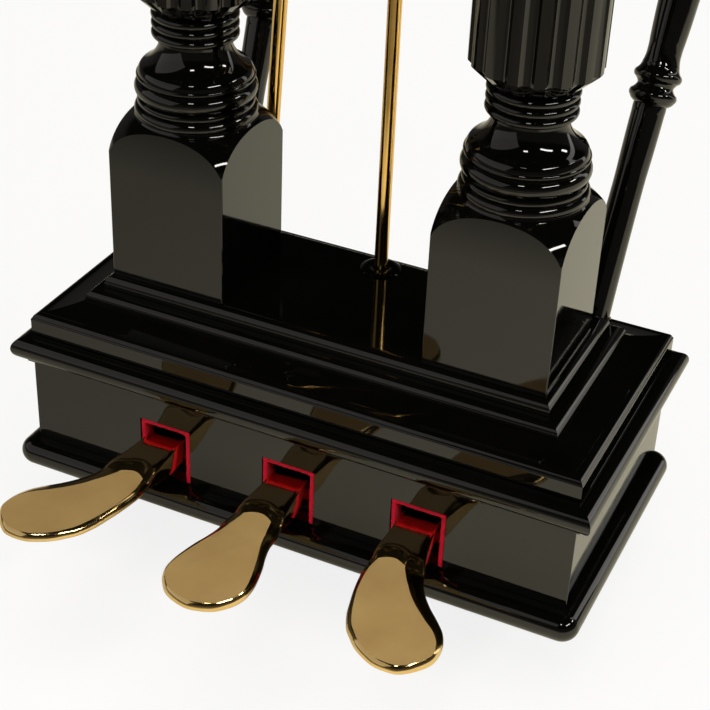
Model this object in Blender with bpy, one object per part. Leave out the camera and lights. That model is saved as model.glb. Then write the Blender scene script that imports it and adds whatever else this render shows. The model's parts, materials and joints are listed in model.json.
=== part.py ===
"""Pedal lyre of a grand piano: the frame that hangs under the keybed and carries the three pedals.

A top block is bolted under the keybed. Two turned and fluted posts hang from it and carry the pedal
box, and two leaning braces hold the box against the push of the foot. Inside the box each pedal is a
brass lever on a steel pin. Its rear end lifts a rod that goes up through the box and the top block.

The origin is the centre of the top block's upper face, the one that meets the keybed. +X is to the
player's right, -Y towards the player and +Z up. All sizes are in metres and degrees.
"""
import math

import bmesh
import bpy
from mathutils import Matrix, Vector

# Clearances
GAP = 0.0003
RUNNING_GAP = 0.0003

# Top block and its bolts
TOP_END = 0.0263
TOP_DEPTH = 0.100
TOP_THICK = 0.034
TOP_BEVEL = 0.003
BOLT_SPACING_Y = 0.050
BOLT_RADIUS = 0.004
BOLT_HEAD_RADIUS = 0.0065
BOLT_HEAD_HEIGHT = 0.0045
SUNK = 0.0005
BOLT_HEAD_CROWN = 0.6
# How far the middle of a rounded edge lies inside its corner, as a share of its radius
ROUND_MIDDLE = 1 - math.sqrt(0.5)

# Posts: a square blank, turned between a tall lower block and a short upper block
POST_SQUARE = 0.0722
POST_LENGTH = 0.3939
POST_MARGIN = 0.0041
LOWER_BLOCK = 0.0965
UPPER_BLOCK = 0.0348
TENON_RADIUS = 0.013
LOWER_TENON = 0.0310
UPPER_TENON = 0.0200
DOME_RADIUS = 0.029
DOME_INSET = 0.013
DOME_STEPS = 4
SHOULDER = 0.0008
# Each turned ring as its height above the block's shoulder and its depth under the blank's face
TURNING = (
    (0.0000, 0.0015), (0.0055, 0.0017), (0.0072, 0.0039), (0.0080, 0.0031), (0.0108, 0.0031),
    (0.0116, 0.0038), (0.0145, 0.0022), (0.0194, 0.0022), (0.0226, 0.0038), (0.0235, 0.0028),
    (0.0247, 0.0028), (0.0254, 0.0037), (0.0262, 0.0030), (0.0285, 0.0046), (0.0305, 0.0071),
    (0.0330, 0.0106), (0.0360, 0.0134), (0.0395, 0.0154), (0.0425, 0.0162), (0.0442, 0.0148),
    (0.0456, 0.0148),
)
BEADS = 3
BEAD_START = 0.0458
BEAD_PITCH = 0.0053
BEAD_CREST = 0.0117
BEAD_ROOT = 0.0140
NECK_END = 0.0626
DRUM_START = 0.0630
DRUM_START_INSET = 0.0122
CHAMFER_HEIGHT = 0.0097
DRUM_INSET = 0.0018
RIBS = 16
RIB_ANGLE = 10.0
FLUTE_FLOOR_ANGLE = 5.6
FLUTE_DEPTH = 0.0025
FLUTE_START_DEPTH = 0.0010

# Pedal box: its four walls, measured over the outside
BOX_WIDTH = 0.3375
FRONT_THICK = 0.016
SIDE_THICK = 0.016
BACK_THICK = 0.012
WALL_HEIGHT = 0.07225

# Lid of the box. An inset is measured in from the walls' outer faces, an overhang out from them.
PLATFORM_THICK = 0.0080
PLATFORM_INSET = 0.0311
PLATFORM_ROUND = 0.0020
STEP_THICK = 0.0060
STEP_INSET = 0.0230
STEP_ROUND = 0.0015
CORNICE_THICK = 0.0178
CORNICE_WIDTH = 0.0360
CORNICE_EDGE = 0.0104
# The hollow slope between the step and the cornice's edge, as shares of its width and its drop
CORNICE_SLOPE = ((0.26, 0.28), (0.57, 0.47), (0.83, 0.63), (0.96, 0.82), (1.00, 1.00))
NOSE_DROP = 0.0083
NOSE_RADIUS = 0.0072
NOSE_CENTRE = 0.0022
NOSE_STEPS = 6
NOSE_FILLET = 0.0026
NOSE_FILLET_OUT = 0.0025

# Base board
BASE_THICK = 0.01625
BASE_OUT_FRONT = 0.0125
BASE_OUT_SIDE = 0.0095
BASE_OUT_BACK = 0.0070
BASE_CORNER = 0.0100
CORNER_STEPS = 4
BASE_STEPS = 6
NOTCH_HALF = 0.0195
NOTCH_DEPTH = 0.0030

# Slots in the front board and their felt linings
PEDAL_PITCH = 0.080
SLOT_WIDTH = 0.0330
SLOT_HEIGHT = 0.03745
FELT_THICK = 0.0028

# Pedals, measured from the pivot pin's axis
PIVOT_HEIGHT = 0.01925
PIVOT_BACK = 0.0516
PRESS_ANGLE = 7.0
LEVER_THICK = 0.0120
LEVER_WIDTH = 0.0120
PAD_WIDTH = 0.0160
PAD_LENGTH = 0.0240
PAD_PAST_ROD = 0.0129
NECK_RISE = 0.0090
NECK_START = 0.0040
TOE_RISE = 0.0062
TOE_THICK = 0.0052
TOE_BEVEL = 0.0035
TOE_EDGE_DROP = 0.0022
PLAIN_BEVEL = 0.0010
SHOULDER_REACH = 0.0280
SHOULDER_LENGTH = 0.0080
BELLY_REACH = 0.0140
BELLY_LENGTH = 0.0260
# Each station of a pedal in front of the box: reach from the box's face, inner edge and outer edge
MIDDLE_PEDAL = (
    (0.0000, -0.0105, 0.0105), (0.0290, -0.0135, 0.0135), (0.0430, -0.0160, 0.0160),
    (0.0520, -0.0162, 0.0162), (0.0610, -0.0183, 0.0183), (0.0700, -0.0212, 0.0212),
    (0.0830, -0.0240, 0.0240), (0.0920, -0.0244, 0.0244), (0.0975, -0.0232, 0.0232),
    (0.1030, -0.0205, 0.0205), (0.1100, -0.0140, 0.0140), (0.1138, -0.0040, 0.0040),
)
OUTER_PEDAL = (
    (0.0000, -0.0105, 0.0115), (0.0200, -0.0110, 0.0150), (0.0330, -0.0113, 0.0190),
    (0.0450, -0.0115, 0.0240), (0.0550, -0.0103, 0.0310), (0.0645, -0.0085, 0.0400),
    (0.0720, -0.0066, 0.0460), (0.0810, -0.0041, 0.0495), (0.0900, 0.0000, 0.0500),
    (0.0955, 0.0045, 0.0483), (0.1007, 0.0095, 0.0447), (0.1050, 0.0160, 0.0405),
    (0.1083, 0.0240, 0.0345),
)

# Pivots
PIN_RADIUS = 0.0030
PIN_STAND_OUT = 0.0015
BRACKET_SIDE_GAP = 0.0005
BRACKET_EAR = 0.0030
BRACKET_EAR_LENGTH = 0.0160
BRACKET_EAR_ABOVE = 0.0065
BRACKET_PLATE = 0.0025
BRACKET_FLANGE = 0.0070

# Felt strips that stop the levers
REST_STRIP_WIDTH = 0.0090
LIMIT_STRIP_WIDTH = 0.0080
LIMIT_STRIP_ARM = 0.0330
STRIP_OVERHANG = 0.0150

# Return springs
SPRING_ARM = 0.0420
SPRING_RADIUS = 0.0062
SPRING_WIRE = 0.0008
SPRING_TURNS = 6
SPRING_STEPS = 8

# Rods that go up into the keybed
ROD_RADIUS = 0.0040
ROD_BEHIND_POST = 0.0093
ROD_MARGIN = 0.0154
ROD_TOP_SPREAD = 0.0542
ROD_FOOT_SPREAD = 0.0816
BUTTON_RADIUS = 0.0070
BUTTON_HEIGHT = 0.0053
BUTTON_DOME = 0.0120
BUTTON_STEPS = 4
BUSH_WALL = 0.0024
TOP_BUSH_LENGTH = 0.0240
ROSETTE_RADIUS = 0.01225
ROSETTE_HEIGHT = 0.0016

# Braces
BRACE_FROM_END = 0.04755
BRACE_FOOT_IN = 0.0117
BRACE_BACK_ANGLE = 22.73
BRACE_OUT_ANGLE = 2.09
BRACE_MAX = 0.0136
BRACE_CURVE = ((0.000, 0.0092), (0.050, 0.0088), (0.095, 0.0090), (0.1315, 0.0094))
BRACE_RING_AT = 0.1350
BRACE_RING_PITCH = 0.0121
BRACE_RING_HALF = 0.0036
BRACE_RING_FLAT = 0.0014
BRACE_NECK = 0.0098
BRACE_SWELL_AT = 0.1870
BRACE_SWELL = 0.0113
BRACE_BELLY = 0.0122
SEAT_THICK = 0.0040
SEAT_RADIUS = 0.0096
SOCKET_WALL = 0.0030
SOCKET_DEPTH = 0.0110
FOOT_PLATE_THICK = 0.0050
FOOT_PLATE_X = 0.0480
FOOT_PLATE_Y = 0.0400

# Facets
POST_SEGMENTS = 2 * RIBS
TURNED_SEGMENTS = 16
BUSH_SEGMENTS = 16

# Heights, from the keybed down
TOP_UNDERSIDE = -TOP_THICK
POST_TOP = TOP_UNDERSIDE - GAP
POST_FOOT = POST_TOP - POST_LENGTH
PLATFORM_TOP = POST_FOOT - GAP
PLATFORM_UNDERSIDE = PLATFORM_TOP - PLATFORM_THICK
STEP_TOP = PLATFORM_UNDERSIDE - GAP
STEP_UNDERSIDE = STEP_TOP - STEP_THICK
CORNICE_TOP = STEP_UNDERSIDE - GAP
CORNICE_UNDERSIDE = CORNICE_TOP - CORNICE_THICK
WALL_TOP = CORNICE_UNDERSIDE - GAP
WALL_FOOT = WALL_TOP - WALL_HEIGHT
BASE_TOP = WALL_FOOT - GAP
BASE_UNDERSIDE = BASE_TOP - BASE_THICK
PIVOT_Z = BASE_TOP + PIVOT_HEIGHT
LEVER_HALF = LEVER_THICK / 2
LEVER_TOP = PIVOT_Z + LEVER_HALF
LEVER_UNDERSIDE = PIVOT_Z - LEVER_HALF

# Places in plan. The lid is as deep as the posts and the rods behind them need, and the posts and the
# top block are as far apart and as wide as the lid allows.
PLATFORM_WIDTH = BOX_WIDTH - 2 * PLATFORM_INSET
PLATFORM_DEPTH = POST_MARGIN + POST_SQUARE + ROD_BEHIND_POST + ROD_MARGIN
BOX_DEPTH = PLATFORM_DEPTH + 2 * PLATFORM_INSET
HALF_WIDTH = BOX_WIDTH / 2
HALF_DEPTH = BOX_DEPTH / 2
POST_SPACING = PLATFORM_WIDTH - 2 * POST_MARGIN - POST_SQUARE
POST_Y = (POST_SQUARE - PLATFORM_DEPTH) / 2 + POST_MARGIN
TOP_WIDTH = POST_SPACING + POST_SQUARE + 2 * TOP_END
PIVOT_Y = -HALF_DEPTH + PIVOT_BACK
ROD_Y = PLATFORM_DEPTH / 2 - ROD_MARGIN
REAR_ARM = ROD_Y - PIVOT_Y + PAD_PAST_ROD
SIDES = (('left', -1), ('right', 1))
PEDALS = (('left', -1), ('middle', 0), ('right', 1))
BUSH_RADIUS = ROD_RADIUS + RUNNING_GAP + BUSH_WALL


def finish(name, colour, roughness, metallic=0.0):
    """A material with its colour, roughness and metallic value."""
    made = bpy.data.materials.new(name)
    made.use_nodes = True
    shader = made.node_tree.nodes['Principled BSDF']
    shader.inputs['Base Color'].default_value = (*colour, 1.0)
    shader.inputs['Roughness'].default_value = roughness
    shader.inputs['Metallic'].default_value = metallic
    return made


def place(name, data, made_of, at=(0.0, 0.0, 0.0), turn=None):
    """A named object from a mesh or a curve, of one material."""
    obj = bpy.data.objects.new(name, data)
    bpy.context.collection.objects.link(obj)
    if made_of:
        data.materials.append(made_of)
    obj.location = at
    if turn:
        obj.rotation_euler = turn
    return obj


def skin(bm, lower, upper):
    """Faces between two loops, which have as many points, or the upper or lower one twice as many."""
    if len(lower) == len(upper):
        for i in range(len(lower)):
            j = (i + 1) % len(lower)
            bm.faces.new((lower[i], lower[j], upper[j], upper[i]))
        return
    few, many = (lower, upper) if len(lower) < len(upper) else (upper, lower)
    for i in range(len(few)):
        start, stop = (2 * i, 2 * i + 1) if i % 2 == 0 else (2 * i - 1, 2 * i + 2)
        far = [many[k % len(many)] for k in range(start, stop + 1)]
        bm.faces.new([few[i], few[(i + 1) % len(few)]] + far[::-1])


def stack(loops, closed=False, smooth=True):
    """A solid skinned over a stack of loops, capped at its ends or closed on itself as a ring."""
    bm = bmesh.new()
    rows = [[bm.verts.new(point) for point in loop] for loop in loops]
    for lower, upper in zip(rows, rows[1:]):
        skin(bm, lower, upper)
    if closed:
        skin(bm, rows[-1], rows[0])
    else:
        bm.faces.new(rows[0][::-1])
        bm.faces.new(rows[-1])
    bmesh.ops.recalc_face_normals(bm, faces=bm.faces)
    mesh = bpy.data.meshes.new('solid')
    bm.to_mesh(mesh)
    bm.free()
    if smooth:
        mesh.shade_smooth()
        mesh.set_sharp_from_angle(angle=math.radians(30))
    return mesh


def circle(radius, z, count):
    """A loop round the Z axis, with a facet square to +X."""
    return [
        (radius * math.cos((i - 0.5) * math.tau / count), radius * math.sin((i - 0.5) * math.tau / count), z)
        for i in range(count)
    ]


def rod_mesh(radius, z0, z1, count=TURNED_SEGMENTS):
    """A plain cylinder along Z."""
    return stack([circle(radius, z0, count), circle(radius, z1, count)])


def turned_mesh(profile, count=TURNED_SEGMENTS):
    """A solid turned about Z from a list of heights and radii."""
    return stack([circle(radius, z, count) for z, radius in profile])


def tube_mesh(inner, outer, z0, z1, count=BUSH_SEGMENTS):
    """A plain bush along Z."""
    corners = ((outer, z0), (outer, z1), (inner, z1), (inner, z0))
    return stack([circle(radius, z, count) for radius, z in corners], closed=True)


def rectangle(half_x, half_y, z):
    """A level rectangle round the Z axis."""
    return [(-half_x, -half_y, z), (half_x, -half_y, z), (half_x, half_y, z), (-half_x, half_y, z)]


def rounded_rectangle(low, high, radius, z):
    """A level rectangle between two corners, with its own corners rounded."""
    loop = []
    for corner, (right, back) in enumerate(((0, 0), (1, 0), (1, 1), (0, 1))):
        x = high[0] - radius if right else low[0] + radius
        y = high[1] - radius if back else low[1] + radius
        for step in range(CORNER_STEPS + 1):
            angle = (corner + 2 + step / CORNER_STEPS) * math.pi / 2
            loop.append((x + radius * math.cos(angle), y + radius * math.sin(angle), z))
    return loop


def box_mesh(low, high):
    """A box between two corners."""
    loops = [[(low[0], low[1], z), (high[0], low[1], z), (high[0], high[1], z), (low[0], high[1], z)]
             for z in (low[2], high[2])]
    return stack(loops, smooth=False)


def rail_mesh(profile):
    """A board as wide and deep as the box, whose four edges follow a profile of overhangs and heights."""
    return stack([rectangle(HALF_WIDTH + out, HALF_DEPTH + out, z) for out, z in profile], smooth=False)


def strip_mesh(profile, side):
    """One of four mitred strips round the box, from a profile of overhangs and heights.

    The sides are counted from the front strip, turning left about +Z.
    """
    along, across = (HALF_WIDTH, HALF_DEPTH) if side % 2 == 0 else (HALF_DEPTH, HALF_WIDTH)
    turn = Matrix.Rotation(side * math.pi / 2, 3, 'Z')
    ends = []
    for sign in (-1, 1):
        ends.append([turn @ Vector((sign * (along + out - GAP), -(across + out), z)) for out, z in profile])
    return stack(ends)


def make_cutter(name, mesh, at=(0.0, 0.0, 0.0), turn=None):
    """A hidden solid that other solids are cut with."""
    obj = place(name, mesh, None, at, turn)
    obj.hide_render = True
    obj.display_type = 'WIRE'
    return obj


def combine(obj, tool, operation='DIFFERENCE'):
    """An exact Boolean between an object and a hidden solid."""
    step = obj.modifiers.new(tool.name, 'BOOLEAN')
    step.solver = 'EXACT'
    step.operation = operation
    step.object = tool


def slice_level(mesh, point, normal):
    """Cuts a closed mesh with a plane, drops what lies past it and closes the cut."""
    bm = bmesh.new()
    bm.from_mesh(mesh)
    parts = bm.verts[:] + bm.edges[:] + bm.faces[:]
    cut = bmesh.ops.bisect_plane(bm, geom=parts, plane_co=point, plane_no=normal, clear_outer=True)
    rim = [item for item in cut['geom_cut'] if isinstance(item, bmesh.types.BMEdge)]
    bmesh.ops.contextual_create(bm, geom=rim)
    bmesh.ops.recalc_face_normals(bm, faces=bm.faces)
    bm.to_mesh(mesh)
    bm.free()


def rod_axis(side):
    """The foot and the direction of the rod over the pedal on a side."""
    foot = Vector((side * ROD_FOOT_SPREAD, ROD_Y, LEVER_TOP + GAP))
    top = Vector((side * ROD_TOP_SPREAD, ROD_Y, 0.0))
    return foot, (top - foot).normalized()


def rod_turn(side):
    """The rotation that lays Z along that rod."""
    direction = rod_axis(side)[1]
    return (0.0, math.atan2(direction.x, direction.z), 0.0)


def along_rod(side, z):
    """The distance from the rod's foot to a height."""
    foot, direction = rod_axis(side)
    return (z - foot.z) / direction.z


def cornice_profile(lift=0.0):
    """The section of the cornice, whose upper side slopes from the step out to a square edge."""
    slope_drop = CORNICE_THICK - CORNICE_EDGE
    top = CORNICE_TOP + lift
    profile = [(-CORNICE_WIDTH, CORNICE_UNDERSIDE), (0.0, CORNICE_UNDERSIDE)]
    for across, down in reversed(CORNICE_SLOPE):
        profile.append((STEP_INSET * (across - 1.0), top - slope_drop * down))
    return profile + [(-STEP_INSET, top), (-CORNICE_WIDTH, top)]


def mouldings():
    """The four mitred strips of the cornice and of the half round under it."""
    cornice = cornice_profile()
    centre = CORNICE_UNDERSIDE - NOSE_DROP
    foot = centre - NOSE_RADIUS - GAP - NOSE_FILLET
    nose = [(GAP, foot), (NOSE_FILLET_OUT, foot), (NOSE_FILLET_OUT, foot + NOSE_FILLET)]
    for step in range(NOSE_STEPS + 1):
        angle = math.pi * (step / NOSE_STEPS - 0.5)
        nose.append((NOSE_CENTRE + NOSE_RADIUS * math.cos(angle), centre + NOSE_RADIUS * math.sin(angle)))
    nose.append((GAP, centre + NOSE_RADIUS))
    for side, word in enumerate(('front', 'right', 'back', 'left')):
        place('cornice_' + word, strip_mesh(cornice, side), LACQUER)
        place('nose_moulding_' + word, strip_mesh(nose, side), LACQUER)


def lid():
    """The platform, the step under it and the deck board inside the cornice."""
    edge = -PLATFORM_INSET
    platform = place('platform_board', rail_mesh((
        (edge, PLATFORM_UNDERSIDE), (edge, PLATFORM_TOP - PLATFORM_ROUND),
        (edge - ROUND_MIDDLE * PLATFORM_ROUND, PLATFORM_TOP - ROUND_MIDDLE * PLATFORM_ROUND),
        (edge - PLATFORM_ROUND, PLATFORM_TOP),
    )), LACQUER)
    edge = -STEP_INSET
    step = place('platform_step', rail_mesh((
        (edge, STEP_UNDERSIDE), (edge, STEP_TOP - STEP_ROUND), (edge - STEP_ROUND, STEP_TOP),
    )), LACQUER)
    edge = -CORNICE_WIDTH - GAP
    deck = place('deck_board', rail_mesh(((edge, CORNICE_UNDERSIDE), (edge, CORNICE_TOP))), LACQUER)
    return platform, step, deck


def walls():
    """The front board with its three slots, the back board and the two side boards."""
    front = place('front_board', box_mesh(
        (-HALF_WIDTH, -HALF_DEPTH, WALL_FOOT), (HALF_WIDTH, FRONT_THICK - HALF_DEPTH, WALL_TOP)), LACQUER)
    for word, side in PEDALS:
        centre = side * PEDAL_PITCH
        slot = make_cutter('slot_cutter_' + word, box_mesh(
            (centre - SLOT_WIDTH / 2, -BOX_DEPTH, WALL_FOOT - SLOT_HEIGHT),
            (centre + SLOT_WIDTH / 2, 0.0, BASE_TOP + SLOT_HEIGHT)))
        combine(front, slot)
    place('back_board', box_mesh(
        (-HALF_WIDTH, HALF_DEPTH - BACK_THICK, WALL_FOOT), (HALF_WIDTH, HALF_DEPTH, WALL_TOP)), LACQUER)
    for word, side in SIDES:
        inner, outer = HALF_WIDTH - SIDE_THICK, HALF_WIDTH
        place('side_board_' + word, box_mesh(
            (min(side * inner, side * outer), FRONT_THICK - HALF_DEPTH + GAP, WALL_FOOT),
            (max(side * inner, side * outer), HALF_DEPTH - BACK_THICK - GAP, WALL_TOP)), LACQUER)


def base():
    """The base board with its bullnose and a shallow hollow in front of each slot."""
    radius = BASE_THICK / 2
    loops = []
    for step in range(BASE_STEPS + 1):
        angle = math.pi * (step / BASE_STEPS - 0.5)
        back_off = radius * (1 - math.cos(angle))
        low = (-HALF_WIDTH - BASE_OUT_SIDE + back_off, -HALF_DEPTH - BASE_OUT_FRONT + back_off)
        high = (HALF_WIDTH + BASE_OUT_SIDE - back_off, HALF_DEPTH + BASE_OUT_BACK - back_off)
        z = BASE_TOP - radius + radius * math.sin(angle)
        loops.append(rounded_rectangle(low, high, BASE_CORNER - back_off, z))
    board = place('base_board', stack(loops), LACQUER)
    hollow = (NOTCH_HALF ** 2 + NOTCH_DEPTH ** 2) / (2 * NOTCH_DEPTH)
    length = BASE_OUT_FRONT + FRONT_THICK
    for word, side in PEDALS:
        mesh = rod_mesh(hollow, 0.0, length, 64)
        at = (side * PEDAL_PITCH, -HALF_DEPTH, BASE_TOP - NOTCH_DEPTH + hollow)
        combine(board, make_cutter('notch_cutter_' + word, mesh, at, (math.pi / 2, 0.0, 0.0)))


def slot_linings():
    """A red felt strip bent round the top and both sides of each slot."""
    outer = SLOT_WIDTH / 2 - GAP
    inner = outer - FELT_THICK
    top = BASE_TOP + SLOT_HEIGHT - GAP
    y0, y1 = GAP - HALF_DEPTH, FRONT_THICK - HALF_DEPTH - GAP
    outline = (
        (-outer, WALL_FOOT), (-inner, WALL_FOOT), (-inner, top - FELT_THICK), (inner, top - FELT_THICK),
        (inner, WALL_FOOT), (outer, WALL_FOOT), (outer, top), (-outer, top),
    )
    for word, side in PEDALS:
        mesh = stack([[(x, y, z) for x, z in outline] for y in (y0, y1)], smooth=False)
        place('slot_felt_' + word, mesh, FELT, (side * PEDAL_PITCH, 0.0, 0.0))


def post_loops():
    """The loops of a whole post, from its lower tenon to its upper one."""
    half = POST_SQUARE / 2
    outside = half * math.sqrt(2) / math.cos(math.pi / POST_SEGMENTS) + GAP
    rise = math.sqrt(DOME_RADIUS ** 2 - DOME_INSET ** 2)
    first = math.acos(DOME_INSET / DOME_RADIUS)
    half_done = []
    for block in (LOWER_BLOCK, UPPER_BLOCK):
        centre = block - SHOULDER - rise
        rings = [(0.0, outside), (centre, outside)]
        for step in range(DOME_STEPS + 1):
            angle = first * step / DOME_STEPS
            radius = half - DOME_INSET + DOME_RADIUS * math.cos(angle)
            rings.append((centre + DOME_RADIUS * math.sin(angle), radius))
        rings += [(block + height, half - inset) for height, inset in TURNING]
        for bead in range(BEADS):
            foot = block + BEAD_START + bead * BEAD_PITCH
            rings += [(foot, half - BEAD_ROOT), (foot + BEAD_PITCH / 2, half - BEAD_CREST)]
        rings.append((block + BEAD_START + BEADS * BEAD_PITCH, half - BEAD_ROOT))
        rings.append((block + NECK_END, half - BEAD_ROOT))
        flutes = [
            (block + DRUM_START, half - DRUM_START_INSET, FLUTE_START_DEPTH),
            (block + DRUM_START + CHAMFER_HEIGHT, half - DRUM_INSET, FLUTE_DEPTH),
        ]
        half_done.append((rings, flutes))
    loops = [circle(TENON_RADIUS, -LOWER_TENON, POST_SEGMENTS), circle(TENON_RADIUS, 0.0, POST_SEGMENTS)]
    rings, flutes = half_done[0]
    loops += [circle(radius, z, POST_SEGMENTS) for z, radius in rings]
    loops += [fluted(radius, depth, z) for z, radius, depth in flutes]
    rings, flutes = half_done[1]
    loops += [fluted(radius, depth, POST_LENGTH - z) for z, radius, depth in reversed(flutes)]
    loops += [circle(radius, POST_LENGTH - z, POST_SEGMENTS) for z, radius in reversed(rings)]
    loops += [circle(TENON_RADIUS, POST_LENGTH, POST_SEGMENTS)]
    loops += [circle(TENON_RADIUS, POST_LENGTH + UPPER_TENON, POST_SEGMENTS)]
    return loops


def fluted(radius, depth, z):
    """A loop of flat ribs with a flute between each two."""
    pitch = 360.0 / RIBS
    points = ((-RIB_ANGLE / 2, 0.0), (RIB_ANGLE / 2, 0.0),
              ((pitch - FLUTE_FLOOR_ANGLE) / 2, depth), ((pitch + FLUTE_FLOOR_ANGLE) / 2, depth))
    loop = []
    for rib in range(RIBS):
        for offset, sunk in points:
            angle = math.radians(rib * pitch + offset)
            loop.append(((radius - sunk) * math.cos(angle), (radius - sunk) * math.sin(angle), z))
    return loop


def posts(top, boards):
    """The two posts, and their tenon holes in the boards under them and the block over them."""
    half = POST_SQUARE / 2
    hole = TENON_RADIUS + GAP
    for word, side in SIDES:
        at = (side * POST_SPACING / 2, POST_Y, POST_FOOT)
        post = place('post_' + word, stack(post_loops()), LACQUER, at)
        blank = box_mesh((-half, -half, -2 * LOWER_TENON), (half, half, POST_LENGTH + 2 * UPPER_TENON))
        combine(post, make_cutter('blank_' + word, blank, at), 'INTERSECT')
        low = rod_mesh(hole, -LOWER_TENON - CORNICE_THICK, GAP, POST_SEGMENTS)
        low_hole = make_cutter('lower_tenon_hole_' + word, low, at)
        for board in boards:
            combine(board, low_hole)
        high = rod_mesh(hole, POST_LENGTH - GAP, POST_LENGTH + UPPER_TENON + GAP, POST_SEGMENTS)
        combine(top, make_cutter('upper_tenon_hole_' + word, high, at))


def top_block():
    """The block under the keybed, with a bolt near each corner."""
    block = place('top_block', box_mesh(
        (-TOP_WIDTH / 2, -TOP_DEPTH / 2, TOP_UNDERSIDE), (TOP_WIDTH / 2, TOP_DEPTH / 2, 0.0)), LACQUER)
    bevel = block.modifiers.new('eased_edges', 'BEVEL')
    bevel.width = TOP_BEVEL
    bevel.segments = 1
    head_top = TOP_UNDERSIDE - GAP
    bolt = turned_mesh((
        (head_top - BOLT_HEAD_HEIGHT, BOLT_HEAD_CROWN * BOLT_HEAD_RADIUS),
        (head_top - BOLT_HEAD_CROWN * BOLT_HEAD_HEIGHT, BOLT_HEAD_RADIUS),
        (head_top, BOLT_HEAD_RADIUS), (head_top, BOLT_RADIUS), (-SUNK, BOLT_RADIUS),
    ))
    hole = rod_mesh(BOLT_RADIUS + GAP, TOP_UNDERSIDE - TOP_THICK, TOP_THICK)
    for word, side in SIDES:
        for row, depth in (('front', -1), ('back', 1)):
            at = (side * (TOP_WIDTH - TOP_END) / 2, depth * BOLT_SPACING_Y / 2, 0.0)
            place('mounting_bolt_%s_%s' % (row, word), bolt.copy(), BRASS, at)
            combine(block, make_cutter('bolt_hole_%s_%s' % (row, word), hole.copy(), at))
    return block


def rods(top, boards):
    """The three rods with a button at the foot and a bush in the lid and in the top block."""
    bore = BUSH_RADIUS + GAP
    inner = ROD_RADIUS + RUNNING_GAP
    lift = BUTTON_HEIGHT + GAP
    for word, side in PEDALS:
        foot, turn = rod_axis(side)[0], rod_turn(side)
        profile = []
        for step in range(1, BUTTON_STEPS + 1):
            radius = BUTTON_RADIUS * step / BUTTON_STEPS
            profile.append((BUTTON_DOME - math.sqrt(BUTTON_DOME ** 2 - radius ** 2), radius))
        profile.append((BUTTON_HEIGHT, BUTTON_RADIUS))
        place('rod_button_' + word, turned_mesh(profile), LEATHER, foot, turn)
        place('rod_' + word, rod_mesh(ROD_RADIUS, lift, along_rod(side, -SUNK)), BRASS, foot, turn)
        low, high = along_rod(side, CORNICE_UNDERSIDE), along_rod(side, PLATFORM_TOP)
        lower_bush = tube_mesh(inner, BUSH_RADIUS, low + SUNK, high - SUNK)
        place('lower_bush_' + word, lower_bush, BRASS, foot, turn)
        low = along_rod(side, TOP_UNDERSIDE)
        high = low + TOP_BUSH_LENGTH
        place('top_bush_' + word, tube_mesh(inner, BUSH_RADIUS, low + SUNK, high), BRASS, foot, turn)
        low, high = along_rod(side, WALL_TOP - TOP_THICK), along_rod(side, POST_FOOT + TOP_THICK)
        lid_bore = rod_mesh(bore, low, high)
        cutter = make_cutter('lid_bore_' + word, lid_bore, foot, turn)
        for board in boards:
            combine(board, cutter)
        top_bore = rod_mesh(bore, along_rod(side, 2 * TOP_UNDERSIDE), along_rod(side, TOP_THICK))
        combine(top, make_cutter('top_bore_' + word, top_bore, foot, turn))
    rosette = tube_mesh(BUSH_RADIUS, ROSETTE_RADIUS, GAP, GAP + ROSETTE_HEIGHT, 24)
    place('rod_rosette', rosette, LACQUER, (0.0, ROD_Y, PLATFORM_TOP))


def pedal_section(y, x0, x1, low, top, bevel, drop):
    """One cross section of a pedal, with bevelled edges."""
    plain = min(bevel, PLAIN_BEVEL + (bevel - PLAIN_BEVEL) / 2)
    rise = min(drop, PLAIN_BEVEL)
    return [
        (x0 + plain, y, low), (x1 - plain, y, low), (x1, y, low + rise), (x1, y, top - drop),
        (x1 - bevel, y, top), (x0 + bevel, y, top), (x0, y, top - drop), (x0, y, low + rise),
    ]


def pedal_mesh(stations, side):
    """A pedal about its pivot: the pad under the rod, the lever, the neck in the slot and the toe."""
    lever, pad = LEVER_WIDTH / 2, PAD_WIDTH / 2
    pad_start = REAR_ARM - PAD_LENGTH
    board_inside = FRONT_THICK - PIVOT_BACK
    plain = (-LEVER_HALF, LEVER_HALF, PLAIN_BEVEL, PLAIN_BEVEL)
    loops = [
        pedal_section(REAR_ARM, -pad, pad, *plain),
        pedal_section(pad_start, -pad, pad, *plain),
        pedal_section(pad_start - PLAIN_BEVEL, -lever, lever, *plain),
        pedal_section(board_inside + NECK_START, -lever, lever, *plain),
    ]
    inner, outer = ordered(*stations[0][1:], side)
    neck = (-LEVER_HALF, NECK_RISE, PLAIN_BEVEL, PLAIN_BEVEL)
    loops.append(pedal_section(board_inside - PLAIN_BEVEL, inner, outer, *neck))
    toe_low = TOE_RISE - TOE_THICK
    marks = {SHOULDER_REACH, SHOULDER_REACH + SHOULDER_LENGTH, BELLY_REACH, BELLY_REACH + BELLY_LENGTH}
    reaches = sorted({station[0] for station in stations} | marks)
    for reach in reaches:
        inner, outer = ordered(*edges_at(stations, reach), side)
        down = share_between(reach, SHOULDER_REACH, SHOULDER_LENGTH)
        thin = share_between(reach, BELLY_REACH, BELLY_LENGTH)
        top = NECK_RISE + (TOE_RISE - NECK_RISE) * down
        low = -LEVER_HALF + (toe_low + LEVER_HALF) * thin
        bevel = TOE_BEVEL * (1 + down) / 2
        drop = TOE_EDGE_DROP * (1 + down) / 2
        if reach == reaches[-1]:
            top, low = top - TOE_EDGE_DROP, low + PLAIN_BEVEL
            bevel, drop = (outer - inner) / 4, PLAIN_BEVEL / 2
        loops.append(pedal_section(-PIVOT_BACK - reach, inner, outer, low, top, bevel, drop))
    return stack(loops)


def share_between(reach, start, length):
    """How far a reach lies along a stretch, from 0 before it to 1 past it."""
    return min(max((reach - start) / length, 0.0), 1.0)


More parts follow.
